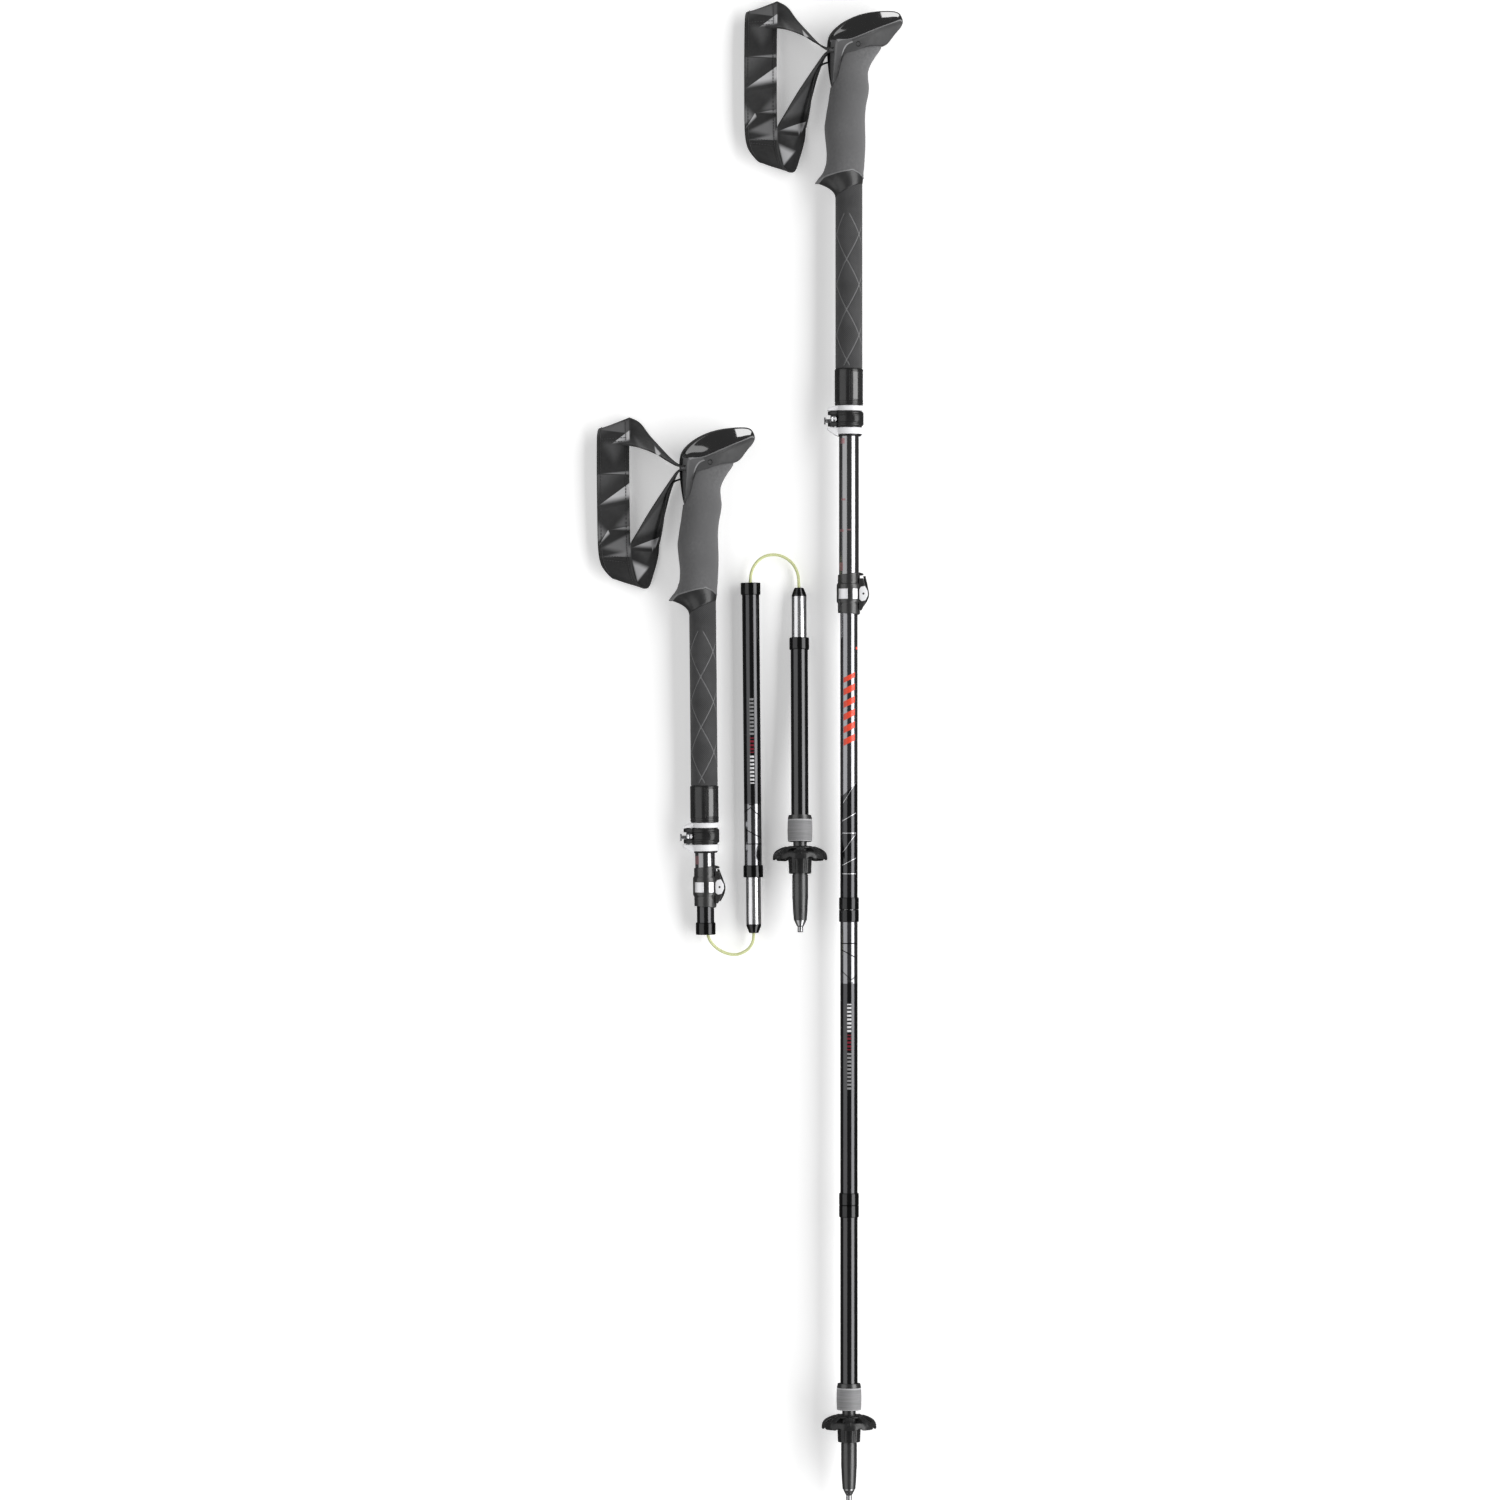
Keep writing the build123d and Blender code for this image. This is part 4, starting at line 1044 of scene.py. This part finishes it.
def make_stitches(pole):
    """Thread beside each bound edge of the front band, and across it at its two folds."""
    centres, across, _ = strap_rows()
    front = [i for i in range(len(centres) - 1) if centres[i][0] < -66 and centres[i][1] < 9]
    # (place along the stitch, half thickness, lift)
    shape = ((-0.5, 0.15, -0.1), (-0.32, 0.26, 0.22), (0.0, 0.28, 0.32), (0.32, 0.26, 0.22),
             (0.5, 0.15, -0.1))
    verts, faces = [], []

    def stitch(i, u, height, length, crosswise=False):
        side, run = across[i], centres[i + 1] - centres[i]
        face = unit(np.cross(side, run))
        way = side if crosswise else unit(run)
        for out in (face, -face):
            other = np.cross(way, out)
            start = len(verts)
            for place, half, lift in shape:
                middle = centres[i] + side * u * STRAP_WIDTH + way * place * length + out * (height + lift)
                verts.extend(middle + half * (cos(a) * other + sin(a) * out * 0.8) for a in around(6))
            faces.extend(tuple(start + v for v in f) for f in ring_faces(len(shape), 6))

    for i in front:
        if i % 2 == 0:
            stitch(i, -0.385, 0.55, 2.0)
            stitch(i, 0.385, 0.55, 2.0)
    for target in (237.5, 240.5, 334.0, 336.5):
        best = min(front, key=lambda i: abs(centres[i][2] - target))
        for k in range(9):
            stitch(best, -0.34 + 0.085 * k, 0.6, 1.7, crosswise=True)
    return new_object(f"{pole}_wrist_stitching", verts, faces, FRAMES[pole]["handle"], "thread")


STRAND = [
    (-13.0, 0.2, 303.6), (-17.5, 0.3, 302.8), (-21.5, 0.8, 301.3), (-25.2, 1.6, 297.6), (-27.8, 2.6, 292.0),
    (-29.3, 3.4, 285.0), (-30.6, 4.2, 276.0), (-31.6, 4.8, 268.0), (-33.2, 5.6, 259.0), (-35.0, 7.0, 251.0),
]


def make_strand(pole):
    """Narrow tail of webbing that leaves the head below the strap and joins its lower arm."""
    centres = smooth_rows(STRAND, 10)
    segments = 12
    verts = []
    for i, (centre, run) in enumerate(zip(centres, unit(np.gradient(centres, axis=0)))):
        out = unit(np.cross(run, (0, 1.0, 0)))
        other = np.cross(out, run)
        edge = 0.06 * sin(i * 1.9)
        verts += [centre + out * (0.75 + edge) * cos(a) + other * (2.6 + edge) * sin(a)
                  for a in around(segments)]
    return new_object(f"{pole}_strap_tail", verts, ring_faces(len(centres), segments),
                      FRAMES[pole]["handle"], "webbing")


# ---------------------------------------------------------------- clamp and lock


def curved_plate(name, matrix, material, arc, heights, radii, rounding, columns):
    """A plate wrapped round the pole over an arc in degrees (0 faces up, 90 the beak side)."""
    (start, end), (low, high), (inner, outer) = arc, heights, radii
    verts = []
    for i in range(columns + 1):
        a = radians(start + (end - start) * i / columns)
        for r, z in ((inner, low), (outer, low), (outer, high), (inner, high)):
            verts.append((r * sin(a), -r * cos(a), z))
    plate = new_object(name, verts, ring_faces(columns + 1, 4), matrix, material)
    round_edges(plate, rounding, 40, 50)
    return plate


def make_lever(pole):
    """Cam lever: an arm with two ribs wrapped over the front, and a block over its pin."""
    matrix = FRAMES[pole]["handle"]
    low, high = 7.7, 20.1
    inner, outer = 10.9, 12.35
    columns, heights = 72, 40
    verts = []
    for i in range(columns + 1):
        share = i / columns
        angle = radians(-66 + 146 * share)
        taper = 1 - 0.08 * share ** 3
        squeeze = 1 - 0.42 * ramp(share, 0.1, 0.9)
        spread = 0.62 * (0.45 + 0.55 * squeeze)
        ring = []
        for k in range(heights + 1):
            t = k / heights - 0.5
            rel = 2 * t
            rib = 0.6 * (hump(rel, -spread, 0.17) + hump(rel, spread, 0.17)) * ramp(share, 0.92, 0.62)
            hollow = 0.35 * hump(rel, 0, 0.5) * (1 - share)
            pad = 0.45 * hump(rel, 0, 0.62) * hump(share, 0.72, 0.2)
            rounded = 0.9 * ramp(abs(rel), 0.86, 1.0) + 0.9 * ramp(share, 0.94, 1.0) ** 2
            ring.append((outer + rib - hollow + pad - rounded, (low + high) / 2 + t * (high - low) * taper))
        ring += [(inner, high - 0.3), (inner, low + 0.3)]
        verts += [(r * sin(angle), -r * cos(angle), z) for r, z in ring]
    arm = new_object(f"{pole}_lever_arm", verts, ring_faces(columns + 1, heights + 3), matrix, "black")
    crease_sharp(arm, 55)
    # block over the pin, with a recess across its middle for the barrel nut
    recess = (11.2, 16.9)
    outline = [(-9.8, -9.0), (-12.4, -8.0), (-15.4, -6.2), (-17.2, -3.6), (-17.0, -1.0), (-14.6, 0.1),
               (-11.6, -0.6), (-10.4, -2.4)]
    blocks = [block(f"{pole}_block", outline, ends, matrix, "black", (0.7, 35, 45), axis=2)
              for ends in ((low, recess[0]), (recess[1], high))]
    core = [(-10.2, -7.2), (-13.2, -5.6), (-14.9, -3.6), (-14.6, -1.4), (-12.0, -1.4), (-10.6, -2.6)]
    middle = block(f"{pole}_block", core, (11.0, 17.0), matrix, "black", axis=2, smooth=False)
    return join(f"{pole}_cam_lever", [arm, *blocks, middle])


def make_barrel_nut(pole):
    """Bright round nut in the lever's recess, with two small studs on its face."""
    matrix = FRAMES[pole]["handle"]
    profile = [(0.05, 0.4), (1.65, 0.4), (1.8, 0.1), (2.1, 0.0), (2.35, 0.35), (2.35, 2.2), (0.05, 2.2)]
    dome = [(0.02, -0.7), (0.36, -0.62), (0.62, -0.36), (0.75, 0.0), (0.75, 0.5), (0.02, 0.5)]
    nut = turned(f"{pole}_barrel_nut", profile, matrix, "steel", 48, (-12.3, -9.2, 13.6), axis=1)
    studs = [turned(f"{pole}_stud", dome, matrix, "plate", 24, (x, -8.9, 13.7), axis=1)
             for x in (-13.3, -11.3)]
    return join(f"{pole}_barrel_nut", [nut, *studs])


def make_screw(pole):
    """Clamp screw with its flat round head on the left, and the pin that the lever turns on."""
    matrix = FRAMES[pole]["handle"]
    profile = [(0.05, -20.0), (2.5, -20.0), (2.9, -19.75), (3.0, -19.1), (2.75, -18.8), (1.55, -18.8),
               (1.5, -18.4), (1.5, -12.2), (0.05, -12.2)]
    screw = turned(f"{pole}_screw", profile, matrix, "steel", 48, (0, 3.3, 12.6), axis=0)
    profile = [(0.05, 3.4), (1.25, 3.4), (1.5, 3.7), (1.5, 21.6), (1.25, 21.9), (0.05, 21.9)]
    pin = turned(f"{pole}_pin", profile, matrix, "steel", 32, (-13.5, -3.0, 0))
    for piece in (screw, pin):
        crease_sharp(piece, 40)
    return join(f"{pole}_clamp_screw_set", [screw, pin])


def make_band(pole):
    """Light clamp band: two rings, each with an ear that slopes away over the lever's pin."""
    matrix = FRAMES[pole]["handle"]
    inner, outer = 10.42, 11.62
    ears = (
        (1.7, 6.9, [(-8.6, 0.2), (-8.6, 6.9), (-17.9, 6.9), (-18.0, 5.8), (-16.4, 4.2), (-12.6, 1.6),
                    (-9.8, 0.0)]),
        (20.5, 24.6, [(-8.6, 20.5), (-8.6, 24.6), (-10.4, 24.5), (-14.0, 23.2), (-17.8, 21.4),
                      (-18.0, 20.5)]),
    )
    pieces = []
    for low, high, outline in ears:
        profile = [(inner, low), (outer - 0.32, low), (outer, low + 0.35), (outer, high - 0.35),
                   (outer - 0.32, high), (inner, high)]
        ring = turned(f"{pole}_band", profile, matrix, "light", 120)
        crease_sharp(ring, 40)
        pieces += [ring, block(f"{pole}_ear", outline, (-7.6, 0.8), matrix, "light", (0.45, 30, 40))]
    return join(f"{pole}_clamp_rings", pieces)


def make_sleeve_panels(pole):
    """Raised glossy panel and fine rings on the clamp's sleeve."""
    matrix = FRAMES[pole]["handle"]
    inner = 11.1
    panel = curved_plate(f"{pole}_sleeve_panel", matrix, "panel", (8, 66), (29.5, 52.2),
                         (inner, 11.85), 0.45, 16)
    step = curved_plate(f"{pole}_sleeve_step", matrix, "sleeve", (-100, 4), (28.2, 53.6),
                        (inner, 11.55), 0.2, 24)
    bead = ((inner, -0.45), (11.55, -0.3), (11.65, 0), (11.55, 0.3), (inner, 0.45))
    rings = [turned(f"{pole}_sleeve_ring", bead, matrix, "sleeve", 96, (0, 0, height))
             for height in (26.4, 28.3, 53.3)]
    return join(f"{pole}_sleeve_trim", [panel, step, *rings])


def lock_radius(height):
    """The lock's housing swells round its bright plates, and has a fine ridge either side."""
    swell = min(ramp(height, 8.4, 11.0), ramp(height, 26.2, 24.0))
    ridges = ramp(abs(height - 27.6), 0.5, 0.0) + ramp(abs(height - 7.2), 0.5, 0.0)
    return 8.95 + swell * swell * (3 - 2 * swell) + 0.22 * ridges


def make_lock_body(pole):
    """Housing of the lock: a waisted sleeve with wavy ends, a stop tab and the rocker's cheeks."""
    matrix = FRAMES[pole]["upper"]
    segments, rows = 120, 46
    wide_bore, narrow_bore = 8.04, 7.12
    ends = [(a, 1.15 - 0.75 * cos(a) + 0.3 * cos(5 * a), 32.9 + cos(a) + 0.12 * cos(6 * a))
            for a in around(segments)]
    verts = [polar(lock_radius(bottom) - 0.45, a, bottom - 0.3) for a, bottom, top in ends]
    for i in range(rows):
        for a, bottom, top in ends:
            z = bottom + (top - bottom) * i / (rows - 1)
            verts.append(polar(lock_radius(z), a, z))
    verts += [polar(lock_radius(top) - 0.4, a, top + 0.3) for a, bottom, top in ends]
    verts += [polar(wide_bore, a, top + 0.3) for a, bottom, top in ends]
    verts += [polar(wide_bore, a, 3.2) for a, bottom, top in ends]
    verts += [polar(narrow_bore, a, 3.0) for a, bottom, top in ends]
    verts += [polar(narrow_bore, a, bottom - 0.3) for a, bottom, top in ends]
    shell = new_object(f"{pole}_lock_shell", verts, ring_faces(rows + 6, segments, closed_rings=True),
                       matrix, "satin")
    crease_sharp(shell, 40)
    cheek = [(8.3, 3.6), (10.3, 3.6), (13.1, 9.0), (13.9, 16.0), (13.3, 23.0), (11.5, 29.4), (8.3, 29.4)]
    tab = [(8.0, 31.6), (11.3, 31.9), (11.9, 32.6), (11.6, 33.3), (9.4, 33.9), (8.0, 33.9)]
    pieces = [block(f"{pole}_cheek", outline, span, matrix, "satin", (0.35, 35, 40))
              for outline, span in ((cheek, (-6.0, -3.95)), (cheek, (3.95, 6.0)), (tab, (-3.4, 3.4)))]
    return join(f"{pole}_lock_housing", [shell, *pieces])


def make_lock_plates(pole):
    """Bright plates round the lock, the two six-sided side caps and the axle's ends."""
    matrix = FRAMES[pole]["upper"]
    pieces = [curved_plate(f"{pole}_plate", matrix, "plate", arc, (12.6, 21.0), (9.6, 10.45), 0.3, 10)
              for arc in ((-54, -7), (16, 42), (-180, -134), (140, 164))]
    hexagon = [(8.2, 12.4), (10.2, 10.7), (13.4, 11.6), (15.3, 15.6), (15.0, 19.2), (12.8, 23.2),
               (9.6, 22.6), (8.1, 20.4)]
    axle = ((0.05, 7.05), (0.7, 7.05), (1.0, 6.85), (1.05, 5.5), (0.05, 5.5))
    for side in (-1, 1):
        pieces.append(block(f"{pole}_cap", hexagon, (side * 6.0, side * 6.95), matrix, "light",
                            (0.45, 50, 40)))
        pieces.append(turned(f"{pole}_pin", [(r, side * y) for r, y in axle], matrix, "black", 24,
                             (11.6, 0, 16.9), axis=1))
    return join(f"{pole}_lock_trim", pieces)


# ---------------------------------------------------------------- basket


def make_basket(pole):
    """Drooping ring with eight windows and a scalloped rim, on a fluted hub."""
    matrix = FRAMES[pole]["tip"]
    lobes, columns = 8, 192
    profile = smooth_rows([(9.0, 69.3), (12.0, 68.9), (16.0, 67.5), (19.8, 65.2), (21.8, 62.0),
                           (22.2, 58.4)], 5)
    reach = len(profile)
    verts, faces = [], []
    for a in around(columns):
        valley = max(0.0, -cos(lobes * a))
        spoke = 0.5 * hump((lobes * a / (2 * pi) + 0.5) % 1, 0.5, 0.09)
        for i, (r, z) in enumerate(profile):
            share = i / (reach - 1)
            height = z + 1.6 * valley ** 3 * share ** 4 + spoke * (0.15 < share < 0.9)
            verts.append(polar(r - 0.6 * valley ** 2 * share ** 3, a, height))
    for j in range(columns):
        k = (j + 1) % columns
        sector = (lobes * (j + 0.5) / columns) % 1
        for i in range(reach - 1):
            share = (i + 0.5) / (reach - 1)
            window = 0.24 < sector < 0.76 and 0.26 < share < 0.66
            if not window:
                faces.append((j * reach + i, j * reach + i + 1, k * reach + i + 1, k * reach + i))
    ring = new_object(f"{pole}_basket_ring", verts, faces, matrix, "black")
    wall = ring.modifiers.new("wall", "SOLIDIFY")
    wall.thickness = 1.5 * MM
    wall.offset = -1.0
    smooth = ring.modifiers.new("smooth", "SUBSURF")
    smooth.levels = smooth.render_levels = 1
    apply_modifiers(ring)
    hub_profile = [(6.4, 69.4), (9.3, 69.5), (10.0, 68.6), (10.4, 66.6), (11.6, 63.6), (11.4, 61.6),
                   (9.9, 59.4), (9.5, 56.5), (9.3, 52.0), (9.2, 48.4), (8.9, 47.6), (8.4, 47.45),
                   (6.45, 47.45)]
    segments = 144
    verts = []
    for a in around(segments):
        for r, z in hub_profile:
            cut = 0.0
            if 47.9 < z < 60:
                cut = 0.55 * max(0.0, cos(6 * a)) ** 4
            elif 61 < z < 65:
                cut = 1.3 - 1.3 * max(0.0, cos(3 * a)) ** 2
            verts.append(polar(r - cut, a, z))
    hub = new_object(f"{pole}_basket_hub", verts, ring_faces(segments, len(hub_profile), closed_rings=True),
                     matrix, "black")
    for piece in (ring, hub):
        crease_sharp(piece, 50)
    return join(f"{pole}_drooping_basket", [ring, hub])


# ---------------------------------------------------------------- the two poles

PLAIN_PIECES = {
    "clamp_sleeve": "sleeve", "strap_lock": "steel", "lock_rocker": "black", "shock_housing": "satin",
    "shock_spring": "steel", "flex_tip": "satin", "carbide_tip": "carbide",
}
# CAD piece: (name of its material, the section it belongs to, share of the black metal's tone)
TUBE_PIECES = {
    "handle_tube": ("handle_tube", "handle", 1.0), "shaft_c": ("shaft_c", "c", 1.0),
    "shaft_a_collar": ("collar_a", "a", 0.6), "shaft_b_fittings": ("fittings_b", "b", 0.6),
    "shaft_c_fittings": ("fittings_c", "c", 0.6),
}


def own(piece, body, slot, *nodes):
    """A new piece rides on a body and may stand for CAD nodes, which it hides; slot is not used."""
    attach(piece, body)
    if nodes:
        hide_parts(*nodes)


for pole, sections in FRAMES.items():
    handle, upper, tip = f"{pole}_handle", f"{pole}_upper", f"{pole}_tip"
    nodes = frame["nodes"]
    for name, key in PLAIN_PIECES.items():
        paint(nodes[f"{pole}_{name}"], MATERIALS[key])
    for name, (key, section, share) in TUBE_PIECES.items():
        paint(nodes[f"{pole}_{name}"],
              make_tube_material(f"{pole}_{key}", sections[section], BLACK_METAL * share))
    paint(nodes[f"{pole}_upper_shaft"], make_upper_material(f"{pole}_upper_shaft", sections["upper"]))
    paint(nodes[f"{pole}_shaft_a"], make_shaft_a_material(f"{pole}_shaft_a", sections["a"]))
    # the folded pole's middle section lies the other way up
    front = sections["b"] if pole == "open" else sections["b"] @ Matrix.Rotation(pi, 4, "Z")
    paint(nodes[f"{pole}_shaft_b"], make_shaft_b_material(f"{pole}_shaft_b", front))
    paint(nodes[f"{pole}_shock_ring"], make_ring_material(f"{pole}_shock_ring", sections["tip"]))
    for section in ("b", "c"):
        paint(nodes[f"{pole}_shaft_{section}_spigot"],
              make_steel_material(f"{pole}_spigot_{section}", sections[section], 0.82))

    foam = make_foam(pole)
    own(foam, handle, "grip_foam", f"{pole}_grip_foam")
    own(make_head(pole), handle, "grip_gloss", f"{pole}_grip_frame")
    own(make_lip(pole), handle, "grip_gloss")
    own(make_head_pins(pole), handle, "plastic_black")
    sleeve = make_extension(pole)
    own(sleeve, handle, "extension_foam", f"{pole}_extension_foam")

    strap, strap_length = make_strap(pole)
    own(strap, handle, "webbing", f"{pole}_wrist_strap")
    stitches, strand = make_stitches(pole), make_strand(pole)
    own(stitches, handle, "webbing")
    own(strand, handle, "webbing")

    own(make_lever(pole), f"{pole}_lever", "plastic_black", f"{pole}_clamp_lever")
    own(make_barrel_nut(pole), f"{pole}_lever", "steel")
    own(make_band(pole), handle, "plastic_light", f"{pole}_clamp_band")
    own(make_sleeve_panels(pole), handle, "plastic_black")
    own(make_screw(pole), handle, "steel", f"{pole}_clamp_screw")
    own(make_lock_body(pole), upper, "plastic_black", f"{pole}_lock_body")
    own(make_lock_plates(pole), upper, "steel", f"{pole}_lock_plates")
    own(make_basket(pole), tip, "plastic_black", f"{pole}_basket")

# ---------------------------------------------------------------- floor, lights and world


def make_floor():
    """White paper just below the poles, with a painted glow that grows stronger away from the middle."""
    half, level = 4, -0.0004
    corners = [(-half, -half), (half, -half), (half, half), (-half, half)]
    floor = new_object("floor", [(x, y, level) for x, y in corners], [(0, 1, 2, 3)], scale=1.0)
    s = Shader("floor_paper_glow", Specular_IOR_Level=0.1)
    # painted glow: the paper emits white light, which washes out the shadows and keeps it white where the
    # lamps fall off
    s.shader.inputs["Emission Color"].default_value = (1, 1, 1, 1)
    from_middle = s.math("SQRT", s.plus(s.times(s.x, s.x), s.times(s.y, s.y)))
    s.set(s.shader.inputs["Emission Strength"], s.fade(from_middle, 1.3, 2.3, 0.32, 0.80))
    s.base(s.mix(s.noise(3.0, 2.0), (0.90, 0.90, 0.90), (0.93, 0.93, 0.93)))
    s.rough(s.fade(s.noise(20.0), 0.3, 0.7, 0.85, 0.95))
    floor.data.materials.append(s.material)
    floor.visible_glossy = False


def strip_light(name, angle, spread, distance, length, radiance):
    """A long soft panel beside the object, at an angle from straight above, facing it."""
    data = bpy.data.lights.new(name, "AREA")
    data.shape = "RECTANGLE"
    width = 2 * distance * tan(radians(spread / 2))
    data.size, data.size_y = width, length
    data.energy = radiance * pi * width * length
    light = bpy.data.objects.new(name, data)
    light.location = (distance * sin(radians(angle)), 0, distance * cos(radians(angle)))
    light.rotation_euler = (0, radians(angle), 0)
    light.visible_camera = False
    bpy.context.scene.collection.objects.link(light)


make_floor()
strip_light("light_right", 54, 38, 2.0, 5.0, 3.7)
strip_light("light_left", -52, 58, 2.0, 5.0, 1.0)

world = bpy.data.worlds.new("studio")
bpy.context.scene.world = world
world.use_nodes = True
tree = world.node_tree
background = tree.nodes["Background"]
background.inputs["Color"].default_value = (0.09, 0.09, 0.09, 1)
backdrop = tree.nodes.new("ShaderNodeBackground")
backdrop.inputs["Color"].default_value = (0.93, 0.93, 0.93, 1)
rays = tree.nodes.new("ShaderNodeLightPath")
choose = tree.nodes.new("ShaderNodeMixShader")
tree.links.new(rays.outputs["Is Camera Ray"], choose.inputs[0])
tree.links.new(background.outputs[0], choose.inputs[1])
tree.links.new(backdrop.outputs[0], choose.inputs[2])
tree.links.new(choose.outputs[0], tree.nodes["World Output"].inputs["Surface"])
bpy.context.scene.view_settings.view_transform = "Standard"
